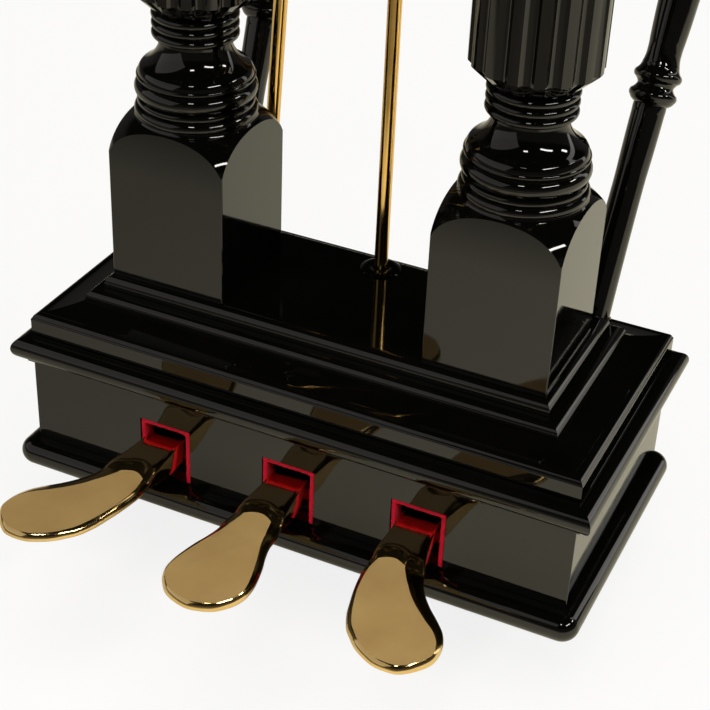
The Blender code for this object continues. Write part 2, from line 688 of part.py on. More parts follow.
def edges_at(stations, reach):
    """The inner and outer edge of a pedal at a reach, between its stations."""
    for near, far in zip(stations, stations[1:]):
        if reach <= far[0]:
            share = (reach - near[0]) / (far[0] - near[0])
            return [a + (b - a) * share for a, b in zip(near[1:], far[1:])]
    return stations[-1][1:]


def ordered(inner, outer, side):
    """An outer pedal's toe turns away from the middle one, so the left pedal mirrors the right."""
    return (-outer, -inner) if side < 0 else (inner, outer)


def pedals():
    """The three pedals, each with its pin, its bracket on the base board and its return spring."""
    ear_inside = LEVER_WIDTH / 2 + BRACKET_SIDE_GAP
    ear_outside = ear_inside + BRACKET_EAR
    pin_half = ear_outside + PIN_STAND_OUT
    plate_foot = BASE_TOP + GAP - PIVOT_Z
    plate_half = ear_outside + BRACKET_FLANGE
    outline = (
        (-plate_half, plate_foot), (plate_half, plate_foot), (plate_half, plate_foot + BRACKET_PLATE),
        (ear_outside, plate_foot + BRACKET_PLATE), (ear_outside, BRACKET_EAR_ABOVE),
        (ear_inside, BRACKET_EAR_ABOVE), (ear_inside, plate_foot + BRACKET_PLATE),
        (-ear_inside, plate_foot + BRACKET_PLATE), (-ear_inside, BRACKET_EAR_ABOVE),
        (-ear_outside, BRACKET_EAR_ABOVE), (-ear_outside, plate_foot + BRACKET_PLATE),
        (-plate_half, plate_foot + BRACKET_PLATE),
    )
    across = (0.0, math.pi / 2, 0.0)
    for word, side in PEDALS:
        at = (side * PEDAL_PITCH, PIVOT_Y, PIVOT_Z)
        stations = OUTER_PEDAL if side else MIDDLE_PEDAL
        pedal = place('pedal_' + word, pedal_mesh(stations, side), BRASS, at)
        bore = rod_mesh(PIN_RADIUS + RUNNING_GAP, -plate_half, plate_half)
        hole = make_cutter('pivot_hole_' + word, bore, at, across)
        combine(pedal, hole)
        place('pivot_pin_' + word, rod_mesh(PIN_RADIUS, -pin_half, pin_half), STEEL, at, across)
        half = BRACKET_EAR_LENGTH / 2
        bracket = stack([[(x, y, z) for x, z in outline] for y in (-half, half)], smooth=False)
        combine(place('pivot_bracket_' + word, bracket, STEEL, at), hole)
        spring(word, at)


def spring(word, pivot):
    """A coil spring between a lever and the deck board."""
    low = LEVER_TOP + GAP + SPRING_WIRE
    high = CORNICE_UNDERSIDE - GAP - SPRING_WIRE
    curve = bpy.data.curves.new('spring', 'CURVE')
    curve.dimensions = '3D'
    curve.bevel_depth = SPRING_WIRE
    curve.bevel_resolution = 0
    curve.use_fill_caps = True
    count = SPRING_TURNS * SPRING_STEPS
    line = curve.splines.new('POLY')
    line.points.add(count)
    for i, point in enumerate(line.points):
        angle = math.tau * i / SPRING_STEPS
        z = (high - low) * i / count
        point.co = (SPRING_RADIUS * math.cos(angle), SPRING_RADIUS * math.sin(angle), z, 1.0)
    place('return_spring_' + word, curve, STEEL, (pivot[0], pivot[1] + SPRING_ARM, low))


def stop_strips():
    """The felt strips that the levers rest on and that stop them when a pedal is pressed."""
    half = PEDAL_PITCH + LEVER_WIDTH / 2 + STRIP_OVERHANG
    swing = math.radians(PRESS_ANGLE)
    rest_end = PIVOT_Y + REAR_ARM
    place('rest_felt', box_mesh(
        (-half, rest_end - REST_STRIP_WIDTH, BASE_TOP + GAP), (half, rest_end, LEVER_UNDERSIDE - GAP)), FELT)
    front = PIVOT_Y - LIMIT_STRIP_ARM
    top = PIVOT_Z - LEVER_HALF / math.cos(swing) - LIMIT_STRIP_ARM * math.tan(swing) - GAP
    place('limit_felt', box_mesh(
        (-half, front, BASE_TOP + GAP), (half, front + LIMIT_STRIP_WIDTH, top)), FELT)


def brace_profile(length):
    """The turned outline of a brace, alike at both ends: distances from its foot and radii."""
    lower = list(BRACE_CURVE)
    for ring in range(2):
        centre = BRACE_RING_AT + ring * BRACE_RING_PITCH
        lower += [(centre - BRACE_RING_HALF, BRACE_NECK), (centre - BRACE_RING_FLAT, BRACE_MAX),
                  (centre + BRACE_RING_FLAT, BRACE_MAX), (centre + BRACE_RING_HALF, BRACE_NECK)]
    lower.append((BRACE_SWELL_AT, BRACE_SWELL))
    upper = [(length - at, radius) for at, radius in reversed(lower)]
    return lower + [(length / 2, BRACE_BELLY)] + upper


def braces():
    """The two leaning braces, each from a seat on the cornice's back to a plate under the keybed."""
    slope = Vector((0.0, CORNICE_THICK - CORNICE_EDGE, STEP_INSET)).normalized()
    slope_cutter = make_cutter('slope_cutter', strip_mesh(cornice_profile(GAP), 2))
    lean_out, lean_back = math.tan(math.radians(BRACE_OUT_ANGLE)), math.tan(math.radians(BRACE_BACK_ANGLE))
    for word, side in SIDES:
        x = side * (HALF_WIDTH - BRACE_FROM_END)
        foot = Vector((x, HALF_DEPTH - BRACE_FOOT_IN, CORNICE_TOP - (CORNICE_THICK - CORNICE_EDGE) / 2))
        reach = -foot.z * Vector((side * lean_out, lean_back, 1.0))
        length = reach.length
        turn = reach.to_track_quat('Z', 'Y').to_euler()
        tilt = turn.to_matrix()
        normal = tilt.inverted() @ slope
        up = tilt.inverted() @ Vector((0.0, 0.0, 1.0))
        seat = rod_mesh(SEAT_RADIUS, -SEAT_RADIUS, 2 * SEAT_RADIUS)
        slice_level(seat, normal * SEAT_THICK, normal)
        combine(place('brace_seat_' + word, seat, LACQUER, foot, turn), slope_cutter)
        profile = brace_profile(length)
        radius = profile[0][1]
        brace = turned_mesh([(-radius, radius)] + profile[1:-1] + [(length + radius, radius)])
        slice_level(brace, normal * (SEAT_THICK + GAP), -normal)
        slice_level(brace, Vector((0.0, 0.0, length)) - up * (FOOT_PLATE_THICK + GAP), up)
        place('brace_' + word, brace, LACQUER, foot, turn)
        head = foot + reach
        half_x, half_y = FOOT_PLATE_X / 2, FOOT_PLATE_Y / 2
        plate = box_mesh((-half_x, -half_y, -FOOT_PLATE_THICK), (half_x, half_y, 0.0))
        plate = place('brace_plate_' + word, plate, BRASS, head)
        sleeve = rod_mesh(radius + GAP + SOCKET_WALL, -SOCKET_DEPTH - FOOT_PLATE_THICK, SOCKET_DEPTH)
        slice_level(sleeve, -up * (FOOT_PLATE_THICK / 2), up)
        combine(plate, make_cutter('sleeve_' + word, sleeve, head, turn), 'UNION')
        bore = rod_mesh(radius + GAP, -4 * SOCKET_DEPTH, SOCKET_DEPTH)
        slice_level(bore, -up * FOOT_PLATE_THICK, up)
        combine(plate, make_cutter('socket_' + word, bore, head, turn))


for old in list(bpy.data.objects):
    bpy.data.objects.remove(old)

LACQUER = finish('black_lacquer', (0.010, 0.010, 0.010), 0.08)
BRASS = finish('polished_brass', (0.72, 0.50, 0.22), 0.18, 1.0)
FELT = finish('red_felt', (0.62, 0.01, 0.03), 0.95)
LEATHER = finish('black_leather', (0.03, 0.025, 0.02), 0.7)
STEEL = finish('bright_steel', (0.55, 0.55, 0.57), 0.3, 1.0)

the_top = top_block()
the_boards = lid()
mouldings()
walls()
base()
slot_linings()
posts(the_top, the_boards)
pedals()
stop_strips()
rods(the_top, the_boards)
braces()
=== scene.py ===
"""The pedal lyre of a grand piano, dressed: lacquered wood, polished brass and red felt.

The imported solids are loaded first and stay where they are. Each section below makes one piece, or one
group of like pieces, that stands over its solid and moves with it. Sizes are in metres and degrees.
+X is to the player's right, -Y towards the player and +Z up.
"""
import json
import math

import bmesh
import bpy
from mathutils import Matrix, Vector


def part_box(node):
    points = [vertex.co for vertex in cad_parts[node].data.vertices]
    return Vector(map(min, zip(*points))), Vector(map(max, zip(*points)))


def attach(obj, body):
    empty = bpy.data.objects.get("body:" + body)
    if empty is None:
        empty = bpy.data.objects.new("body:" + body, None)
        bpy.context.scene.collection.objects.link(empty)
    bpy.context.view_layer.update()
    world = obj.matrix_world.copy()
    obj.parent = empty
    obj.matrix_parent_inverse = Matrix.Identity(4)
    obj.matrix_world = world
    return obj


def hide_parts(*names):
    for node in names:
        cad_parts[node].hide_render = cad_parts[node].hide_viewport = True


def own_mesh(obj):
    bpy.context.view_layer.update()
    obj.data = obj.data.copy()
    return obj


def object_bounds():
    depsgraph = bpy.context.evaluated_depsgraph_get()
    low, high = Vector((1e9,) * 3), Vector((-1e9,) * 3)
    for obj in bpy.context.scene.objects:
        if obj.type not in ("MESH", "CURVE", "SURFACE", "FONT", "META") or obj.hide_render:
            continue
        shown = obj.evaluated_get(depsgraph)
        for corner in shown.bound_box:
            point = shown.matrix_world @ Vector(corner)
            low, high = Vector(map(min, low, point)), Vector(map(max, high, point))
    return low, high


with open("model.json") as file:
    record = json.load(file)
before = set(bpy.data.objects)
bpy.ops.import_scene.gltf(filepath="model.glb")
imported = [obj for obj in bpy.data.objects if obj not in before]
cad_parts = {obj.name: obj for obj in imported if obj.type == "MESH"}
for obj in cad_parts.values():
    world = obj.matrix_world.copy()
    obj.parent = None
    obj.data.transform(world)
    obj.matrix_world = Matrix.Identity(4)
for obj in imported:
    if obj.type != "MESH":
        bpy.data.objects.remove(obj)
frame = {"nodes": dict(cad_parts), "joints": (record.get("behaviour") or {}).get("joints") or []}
solid_low, solid_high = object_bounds()

# Camera, where the photographer stood: in front of the lyre, to its right and above it, looking down.
# The view shows each colour as it is written.
CAMERA_PLACE = (0.3394, -0.7577, 0.0699)
CAMERA_TURN = 24.03
CAMERA_DOWN = 33.0
CAMERA_ROLL = 2.617
CAMERA_LENS = 85.26
CAMERA_NEAR = 0.01

camera_data = bpy.data.cameras.new('camera')
camera_data.lens = CAMERA_LENS
camera_data.clip_start = CAMERA_NEAR
camera = bpy.data.objects.new('camera', camera_data)
bpy.context.collection.objects.link(camera)
camera.matrix_world = (
    Matrix.Translation(CAMERA_PLACE)
    @ Matrix.Rotation(math.radians(CAMERA_TURN), 4, 'Z')
    @ Matrix.Rotation(math.radians(90 - CAMERA_DOWN), 4, 'X')
    @ Matrix.Rotation(math.radians(CAMERA_ROLL), 4, 'Z')
)
bpy.context.scene.camera = camera
bpy.context.scene.view_settings.view_transform = 'Standard'

# Floor, a pale sweep under the lyre. To the camera it is white with the lyre's shadow on it, and in
# polished surfaces it is the warm white of the studio's paper, with painted shade that darkens it
# towards the front and the left.
FLOOR_UNDER = 0.055
FLOOR_HALF = 8.0
SHADOW_SHARE = 0.15
PAPER = (1.0, 0.96, 0.76)
PAPER_GLOW = 0.5
PAPER_LIT = (0.90, 0.88, 0.84)
MIRRORED_SHARE = 0.90
# Painted shade on the paper's mirror image: where it starts and stops getting darker, along and across,
# and its last share
PAINTED_SHADE_FRONT = (-0.45, -0.56, 0.25)
PAINTED_SHADE_LEFT = (0.05, -0.35, 0.65)


def tree_of(owner):
    """A node tree that holds nothing yet."""
    owner.use_nodes = True
    owner.node_tree.nodes.clear()
    return owner.node_tree


def feed(tree, node, inputs):
    """Sets inputs of a node to a value, or links them to an output or to another node's first one."""
    for socket, value in inputs.items():
        if isinstance(value, bpy.types.Node):
            value = value.outputs[0]
        if isinstance(value, bpy.types.NodeSocket):
            tree.links.new(value, node.inputs[socket])
        else:
            node.inputs[socket].default_value = value


def add_node(tree, kind, inputs=None, **settings):
    """A node with its settings and its inputs."""
    node = tree.nodes.new(kind)
    for key, value in settings.items():
        setattr(node, key, value)
    feed(tree, node, inputs or {})
    return node


def mix_colours(tree, share, first, second):
    """The first colour where the share is 0 and the second where it is 1."""
    return add_node(tree, 'ShaderNodeMix', {
        'Factor': share, 6: first, 7: second}, data_type='RGBA').outputs[2]


def mix_numbers(tree, share, first, second):
    """The first number where the share is 0 and the second where it is 1."""
    return add_node(tree, 'ShaderNodeMix', {'Factor': share, 2: first, 3: second})


def mix_shaders(tree, share, first, second):
    """The first shader where the share is 0 and the second where it is 1."""
    return add_node(tree, 'ShaderNodeMixShader', {0: share, 1: first, 2: second})


def let_go():
    """Leaves edit mode and selects nothing, because an operator acts on all that is selected."""
    if bpy.context.object and bpy.context.object.mode == 'EDIT':
        bpy.ops.object.mode_set(mode='OBJECT')
    bpy.ops.object.select_all(action='DESELECT')


let_go()
floor_height = solid_low.z - FLOOR_UNDER
bpy.ops.mesh.primitive_plane_add(size=2 * FLOOR_HALF, location=(0.0, 0.0, floor_height))
floor = bpy.context.object
floor.name = 'floor'
floor_paint = bpy.data.materials.new('studio_paper')
tree = tree_of(floor_paint)
path = add_node(tree, 'ShaderNodeLightPath').outputs
to_camera = add_node(tree, 'ShaderNodeEmission', {'Color': (1.0, 1.0, 1.0, 1.0), 'Strength': 1.0})
to_gloss = add_node(tree, 'ShaderNodeEmission', {'Color': (*PAPER, 1.0), 'Strength': PAPER_GLOW})
lit = add_node(tree, 'ShaderNodeBsdfDiffuse', {'Color': (*PAPER_LIT, 1.0)})
place = add_node(tree, 'ShaderNodeTexCoord').outputs['Object']
floor_place = add_node(tree, 'ShaderNodeSeparateXYZ', {0: place}).outputs
# Painted shade: the paper's mirror image is darkened by where it lies, towards the front and the left.
painted_paper_shades = [
    add_node(tree, 'ShaderNodeMapRange', {
        'Value': floor_place[axis], 'From Min': start, 'From Max': end, 'To Min': 1.0, 'To Max': last})
    for axis, (start, end, last) in (('Y', PAINTED_SHADE_FRONT), ('X', PAINTED_SHADE_LEFT))]
shading = add_node(tree, 'ShaderNodeMath', dict(enumerate(painted_paper_shades)), operation='MULTIPLY')
# The paper as polished faces mirror it, with the painted shade in its colour.
warm = add_node(tree, 'ShaderNodeBsdfDiffuse', {
    'Color': mix_colours(tree, shading, (0.0, 0.0, 0.0, 1.0), (*PAPER, 1.0))})
shown = mix_shaders(tree, SHADOW_SHARE, to_camera, lit)
mirrored = mix_shaders(tree, MIRRORED_SHARE, to_gloss, warm)
gloss = add_node(tree, 'ShaderNodeMath', {
    0: path['Is Glossy Ray'], 1: path['Is Transmission Ray']}, operation='MAXIMUM')
unseen = mix_shaders(tree, gloss, lit, mirrored)
paper = mix_shaders(tree, path['Is Camera Ray'], unseen, shown)
add_node(tree, 'ShaderNodeOutputMaterial', {'Surface': paper})
floor.data.materials.append(floor_paint)

# Room, white to the camera. Polished faces see a pale wall up to about head height and a dim ceiling
# over it, which is what keeps the level faces of the lacquer black.
WALL_LIGHT = (0.07, 0.067, 0.060)
CEILING_LIGHT = (0.006, 0.006, 0.005)
WALL_TOP_ANGLE = 17.0
CEILING_ANGLE = 27.0

world = bpy.data.worlds.new('studio')
bpy.context.scene.world = world
tree = tree_of(world)
path = add_node(tree, 'ShaderNodeLightPath').outputs
direction = add_node(tree, 'ShaderNodeTexCoord').outputs['Generated']
height = add_node(tree, 'ShaderNodeSeparateXYZ', {0: direction}).outputs['Z']
rise = add_node(tree, 'ShaderNodeMapRange', {
    'Value': height, 'From Min': math.sin(math.radians(WALL_TOP_ANGLE)),
    'From Max': math.sin(math.radians(CEILING_ANGLE))}, interpolation_type='SMOOTHSTEP')
around = add_node(tree, 'ShaderNodeBackground', {
    'Color': mix_colours(tree, rise, (*WALL_LIGHT, 1.0), (*CEILING_LIGHT, 1.0))})
seen = add_node(tree, 'ShaderNodeBackground', {'Color': (1.0, 1.0, 1.0, 1.0)})
add_node(tree, 'ShaderNodeOutputWorld', {'Surface': mix_shaders(tree, path['Is Camera Ray'], around, seen)})

# Lamps: three strips, whose reflections are the small bright marks on turned and rounded edges, two dim
# panels, on the left and behind, and a broad soft light overhead that only matt faces see.
LAMP_DISTANCE = 4.0
LAMP_COLOUR = (1.0, 0.97, 0.92)
LAMPS = (
    # name, turn from -Y towards +X, height, width and tallness in degrees, brightness, seen in gloss
    ('lamp_front', 15.0, 50.0, 8.0, 4.0, 26.0, True),
    ('lamp_right', 71.0, 40.0, 26.0, 4.0, 26.0, True),
    ('lamp_behind', 119.0, 33.0, 12.0, 4.0, 24.0, True),
    ('panel_left', -50.0, 26.0, 72.0, 46.0, 0.50, True),
    ('panel_behind', 140.0, 22.0, 9.0, 50.0, 1.5, True),
    ('soft_overhead', 20.0, 74.0, 60.0, 60.0, 2.5, False),
)
aim = (solid_low + solid_high) / 2
for name, turn, climb, wide, tall, brightness, in_gloss in LAMPS:
    data = bpy.data.lights.new(name, 'AREA')
    data.shape = 'RECTANGLE'
    data.size = 2 * LAMP_DISTANCE * math.tan(math.radians(wide / 2))
    data.size_y = 2 * LAMP_DISTANCE * math.tan(math.radians(tall / 2))
    data.energy = brightness * math.pi * data.size * data.size_y
    data.color = LAMP_COLOUR
    lamp = bpy.data.objects.new(name, data)
    bpy.context.collection.objects.link(lamp)
    turn, climb = math.radians(turn), math.radians(climb)
    outward = Vector((math.sin(turn) * math.cos(climb), -math.cos(turn) * math.cos(climb), math.sin(climb)))
    lamp.location = aim + outward * LAMP_DISTANCE
    lamp.rotation_euler = outward.to_track_quat('Z', 'Y').to_euler()
    lamp.visible_camera = False
    lamp.visible_glossy = in_gloss

# Top block, bolted up under the keybed. It is hardwood in black polyester lacquer, rubbed to a mirror
# over its eased edges, and drilled for its four bolts, the posts' tenons and the three rods.
TOP_EASE = 0.003
BOLT_HOLE = 0.0043
BUSH_HOLE = 0.0070
TENON_HOLE = 0.0133
TENON_DEPTH = 0.0203
SMOOTH_ANGLE = 30.0
# How long a bit is, how far a cutter passes what it cuts, and the gap between solids
DRILL_LONG = 0.1
PAST = 0.001
GAP = 0.0003
# What still counts as level, as lying on a face, and as the same height
LEVEL = 0.001
NEAR = 0.0001
TINY = 0.00001
UP = (0.0, 0.0, 1.0)
LACQUER_DEEP = (0.0008, 0.0008, 0.0006)
LACQUER_HAZE = (0.0018, 0.0017, 0.0014)


def fix_place():
    """Puts the place, turn and size of the active piece into its mesh."""
    bpy.ops.object.transform_apply(location=True, rotation=True, scale=True)


def settle(name):
    """Names the piece just added and fixes its place."""
    piece = bpy.context.object
    piece.name = name
    piece.data.name = name
    fix_place()
    return piece


def take_up(piece):
    """Makes a piece the only selected and the active one."""
    let_go()
    piece.select_set(True)
    bpy.context.view_layer.objects.active = piece


def board(name, low, high):
    """A board between two corners."""
    let_go()
    low, high = Vector(low), Vector(high)
    bpy.ops.mesh.primitive_cube_add(size=1.0, location=(low + high) / 2)
    bpy.context.object.scale = high - low
    return settle(name)


def upright(edge):
    """Whether an edge climbs, as the corners of a board do."""
    return abs(edge.verts[0].co.z - edge.verts[1].co.z) > LEVEL


def choose(kind, test):
    """Selects the edges or faces of the mesh in edit mode that pass a test."""
    bpy.ops.mesh.select_mode(type='EDGE' if kind == 'edges' else 'FACE')
    bpy.ops.mesh.select_all(action='DESELECT')
    mesh = bpy.context.edit_object.data
    parts = bmesh.from_edit_mesh(mesh)
    for part in getattr(parts, kind):
        if test(part):
            part.select_set(True)
    bmesh.update_edit_mesh(mesh)


def ease(piece, width, steps, test=lambda edge: True):
    """Rounds the edges that pass a test."""
    take_up(piece)
    bpy.ops.object.mode_set(mode='EDIT')
    choose('edges', test)
    bpy.ops.mesh.bevel(offset=width, offset_type='OFFSET', segments=steps, affect='EDGES')
    bpy.ops.object.mode_set(mode='OBJECT')


def face_out():
    """Turns all faces of the mesh in edit mode outwards, and leaves edit mode."""
    bpy.ops.mesh.select_all(action='SELECT')
    bpy.ops.mesh.normals_make_consistent(inside=False)
    bpy.ops.object.mode_set(mode='OBJECT')


def cut_off(piece, *planes):
    """Cuts away what is past each plane, given as a point and the way out, and closes the cut."""
    take_up(piece)
    bpy.ops.object.mode_set(mode='EDIT')
    for at, outward in planes:
        bpy.ops.mesh.select_all(action='SELECT')
        bpy.ops.mesh.bisect(plane_co=at, plane_no=outward, use_fill=True, clear_outer=True)
    face_out()


def finish_modifier(piece, kind, **settings):
    """Gives a piece a modifier and applies it."""
    take_up(piece)
    modifier = piece.modifiers.new(kind.lower(), kind)
    for key, value in settings.items():
        setattr(modifier, key, value)
    bpy.ops.object.modifier_apply(modifier=modifier.name)


def join(pieces):
    """One piece from several, named as the first."""
    let_go()
    for piece in pieces:
        piece.select_set(True)
    bpy.context.view_layer.objects.active = pieces[0]
    if len(pieces) > 1:
        bpy.ops.object.join()
    return pieces[0]


def carve(piece, cutters, operation='DIFFERENCE'):
    """Cuts a piece with others, which are used up."""
    cutter = join(cutters)
    finish_modifier(piece, 'BOOLEAN', object=cutter, operation=operation, solver='EXACT')
    bpy.data.objects.remove(cutter)


def drill_bit(at, along, radius, length, sides=48):
    """A round cutter with its middle at a point."""
    let_go()
    turn = Vector(along).to_track_quat('Z', 'Y').to_euler()
    bpy.ops.mesh.primitive_cylinder_add(
        vertices=sides, radius=radius, depth=length, location=at, rotation=turn)
    return settle('drill_bit')


def polish(piece, angle=SMOOTH_ANGLE):
    """Smooth shading over rounded edges that leaves the flat faces flat."""
    take_up(piece)
    bpy.ops.object.shade_smooth_by_angle(angle=math.radians(angle))
    finish_modifier(piece, 'WEIGHTED_NORMAL', keep_sharp=True, weight=100, mode='FACE_AREA')


def hand_over(piece, body, slot, finish, *nodes):
    """Gives a finished piece its material, and lets it stand for its solids on their body."""
    piece.data.materials.clear()
    piece.data.materials.append(finish)
    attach(piece, body)
    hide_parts(*nodes)


def middle_of(node):
    """The middle of a solid's box."""
    low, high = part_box(node)
    return (low + high) / 2


def new_finish(name):
    """A material with a Principled shader, and the coordinates that its patterns read."""
    made = bpy.data.materials.new(name)
    tree = tree_of(made)
    shader = add_node(tree, 'ShaderNodeBsdfPrincipled')
    add_node(tree, 'ShaderNodeOutputMaterial', {'Surface': shader})
    return made, tree, shader, add_node(tree, 'ShaderNodeTexCoord').outputs['Object']


def grain(tree, place, scale, detail=3.0, stretch=(1.0, 1.0, 1.0)):
    """Noise between 0 and 1, stretched by how many times finer it is along each axis."""
    mapped = add_node(tree, 'ShaderNodeMapping', {'Vector': place, 'Scale': stretch})
    return add_node(tree, 'ShaderNodeTexNoise', {
        'Vector': mapped, 'Scale': scale, 'Detail': detail, 'Roughness': 0.55}).outputs['Fac']


def between(tree, amount, low, high, start=0.3, end=0.7):
    """A number that runs from low to high as a pattern does from start to end."""
    return add_node(tree, 'ShaderNodeMapRange', {
        'Value': amount, 'From Min': start, 'From Max': end, 'To Min': low, 'To Max': high})


def shades(tree, amount, dark, light, start=0.3, end=0.7):
    """A colour that runs from dark to light as a pattern does."""
    share = between(tree, amount, 0.0, 1.0, start, end)
    return mix_colours(tree, share, (*dark, 1.0), (*light, 1.0))


def dents(tree, pattern, distance, strength, under=None):
    """A bump from a pattern, over another bump."""
    inputs = {'Height': pattern, 'Distance': distance, 'Strength': strength}
    if under:
        inputs['Normal'] = under
    return add_node(tree, 'ShaderNodeBump', inputs)


def lacquer_finish():
    """Black polyester: nearly black, mirror smooth, with a faint haze and the long ripple of rubbing."""
    made, tree, shader, place = new_finish('black_polyester_lacquer')
    haze = grain(tree, place, 22.0, 4.0)
    wipes = grain(tree, place, 90.0, 2.0, (1.0, 1.0, 0.25))
    ripple = grain(tree, place, 38.0, 1.0)
    feed(tree, shader, {
        'IOR': 1.5, 'Base Color': shades(tree, haze, LACQUER_DEEP, LACQUER_HAZE),
        'Roughness': between(tree, wipes, 0.030, 0.060), 'Normal': dents(tree, ripple, 0.0004, 0.015)})
    return made


lacquer = lacquer_finish()


def lacquered(piece, node, angle=SMOOTH_ANGLE):
    """Polishes a wooden piece of the frame and hands it over."""
    polish(piece, angle)
    hand_over(piece, 'lyre_frame', 'black_lacquer', lacquer, node)


rods = {}
for joint in frame['joints']:
    if joint['type'] == 'slide':
        word = joint['child'].removeprefix('rod_')
        rods[word] = (middle_of('rod_' + word), Vector(joint['axis']))
post_places = {word: middle_of('post_' + word) for word in ('left', 'right')}
bolt_words = ('front_left', 'front_right', 'back_left', 'back_right')


def on_rod(word, height):
    """The point of a rod's line at a height."""
    middle, along = rods[word]
    return middle + along * ((height - middle.z) / along.z)


def rod_holes(height):
    """The bits that bore a board for the rods' bushes, at the board's height."""
    return [drill_bit(on_rod(word, height), rods[word][1], BUSH_HOLE, DRILL_LONG) for word in rods]


def tenon_holes(height, length=DRILL_LONG):
    """The bits that bore a board for the posts' tenons."""
    return [drill_bit((at.x, at.y, height), UP, TENON_HOLE, length) for at in post_places.values()]


low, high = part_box('top_block')
top_underside = low.z
top_block = board('keybed_block', low, high)
ease(top_block, TOP_EASE, 5)
bits = [drill_bit(middle_of('mounting_bolt_' + word), UP, BOLT_HOLE, DRILL_LONG) for word in bolt_words]
bits += rod_holes(middle_of('top_block').z) + tenon_holes(low.z, 2 * TENON_DEPTH)
carve(top_block, bits)
lacquered(top_block, 'top_block')

# Mounting bolts, one near each corner of the top block. Brass, turned with a low domed head that has a
# screwdriver slot, and driven up through the block into the keybed.
BOLT_RADIUS = 0.004
HEAD_RADIUS = 0.0065
HEAD_HEIGHT = 0.0045
HEAD_CROWN = 0.0022
CROWN_BOW = 0.0007
HEAD_EASE = 0.0003
SHANK_EASE = 0.0005
SLOT_CUT = 0.0011
SLOT_DEEP = 0.0016
WELD = 0.000002
BRASS_DEEP = (0.74, 0.50, 0.20)
BRASS_BRIGHT = (0.82, 0.60, 0.28)


def bowed(points, steps=8):
    """A line through points. A third number is how far the stretch to that point bows to its right."""
    line = [Vector(points[0][:2])]
    for before, after in zip(points, points[1:]):
        start, end = Vector(before[:2]), Vector(after[:2])
        if len(after) > 2:
            half = (end - start) / 2
            out = Vector((half.y, -half.x)).normalized()
            angle = 2 * math.atan(after[2] / half.length)
            radius = half.length / math.sin(angle)
            for step in range(1, steps):
                turn = angle * (2 * step / steps - 1)
                line.append(start + half + half.normalized() * radius * math.sin(turn)
                            + out * radius * (math.cos(turn) - math.cos(angle)))
        line.append(end)
    return line


def draw(points):
    """Extrudes a line of edges from point to point, and stays in edit mode."""
    let_go()
    bpy.ops.mesh.primitive_plane_add(size=0.001, location=points[0])
    bpy.ops.object.mode_set(mode='EDIT')
    bpy.ops.mesh.select_mode(type='VERT')
    bpy.ops.mesh.select_all(action='SELECT')
    bpy.ops.mesh.merge(type='CENTER')
    for before, after in zip(points, points[1:]):
        bpy.ops.mesh.extrude_region_move(TRANSFORM_OT_translate={'value': Vector(after) - Vector(before)})


def turn_on_lathe(name, profile, steps, ring=False):
    """A piece turned about Z from radii and heights, solid, or a ring where the profile closes."""
    draw([Vector((radius, 0.0, height)) for radius, height in profile])
    bpy.ops.mesh.select_all(action='SELECT')
    if ring:
        bpy.ops.mesh.edge_face_add()
        bpy.ops.mesh.delete(type='ONLY_FACE')
        bpy.ops.mesh.select_all(action='SELECT')
    bpy.ops.mesh.spin(steps=steps, angle=math.tau, center=(0, 0, 0), axis=(0, 0, 1))
    bpy.ops.mesh.select_all(action='SELECT')
    bpy.ops.mesh.remove_doubles(threshold=WELD)
    face_out()
    return settle(name)


def set_down(piece, at, along=UP):
    """Moves a piece to its place and lays its Z axis along a direction."""
    take_up(piece)
    piece.location = at
    if along[2] != 1:
        piece.rotation_euler = Vector(along).to_track_quat('Z', 'Y').to_euler()
    fix_place()


def copied(piece, name):
    """Another piece like one, with its own mesh."""
    twin = piece.copy()
    twin.data = piece.data.copy()
    twin.name = name
    twin.data.name = name
    bpy.context.collection.objects.link(twin)
    return twin


def brass_finish(name, deep, bright, smooth, dull):
    """Polished brass: a mirror with faint clouding and the fine lines of the buffing wheel."""
    made, tree, shader, place = new_finish(name)
    cloud = grain(tree, place, 60.0, 4.0)
    lines = grain(tree, place, 500.0, 2.0, (1.0, 0.08, 1.0))
    feed(tree, shader, {
        'Metallic': 1.0, 'Base Color': shades(tree, cloud, deep, bright),
        'Roughness': between(tree, cloud, smooth, dull), 'Normal': dents(tree, lines, 0.0001, 0.02)})
    return made


brass = brass_finish('polished_brass_fittings', BRASS_DEEP, BRASS_BRIGHT, 0.10, 0.18)


def fitted(piece, node):
    """Polishes a brass fitting of the frame and hands it over."""
    polish(piece)
    hand_over(piece, 'lyre_frame', 'polished_brass', brass, node)


head_top = top_underside - GAP
shank_top = -head_top - SHANK_EASE
bolt_pattern = turn_on_lathe('bolt_pattern', bowed((
    (0.0, -HEAD_HEIGHT), (HEAD_RADIUS, -HEAD_HEIGHT + HEAD_CROWN, CROWN_BOW),
    (HEAD_RADIUS, -HEAD_EASE), (HEAD_RADIUS - HEAD_EASE, 0.0), (BOLT_RADIUS, 0.0),
    (BOLT_RADIUS, shank_top - SHANK_EASE), (BOLT_RADIUS - SHANK_EASE, shank_top), (0.0, shank_top),
)), 48)
carve(bolt_pattern, [board('slot', (-HEAD_RADIUS, -SLOT_CUT / 2, -HEAD_HEIGHT - PAST),
                           (HEAD_RADIUS, SLOT_CUT / 2, -HEAD_HEIGHT + SLOT_DEEP))])
for word in bolt_words:
    bolt = copied(bolt_pattern, 'bolt_' + word)
    at = middle_of('mounting_bolt_' + word)
    set_down(bolt, (at.x, at.y, head_top))
    fitted(bolt, 'mounting_bolt_' + word)
bpy.data.objects.remove(bolt_pattern)

# Posts, two square blanks of hardwood turned between their ends, then fluted and lacquered. Each block
# ends in a dome cut by the blank's four faces, and a tenon at each end goes into the boards.
BLANK = 0.0722
LOWER_BLOCK = 0.0965
UPPER_BLOCK = 0.0348
TENON = 0.013
LOWER_TENON = 0.0310
UPPER_TENON = 0.0200
DOME = 0.029
DOME_IN = 0.013
DOME_STEPS = 16
SHOULDER = 0.0008
CORNER_EASE = 0.0009
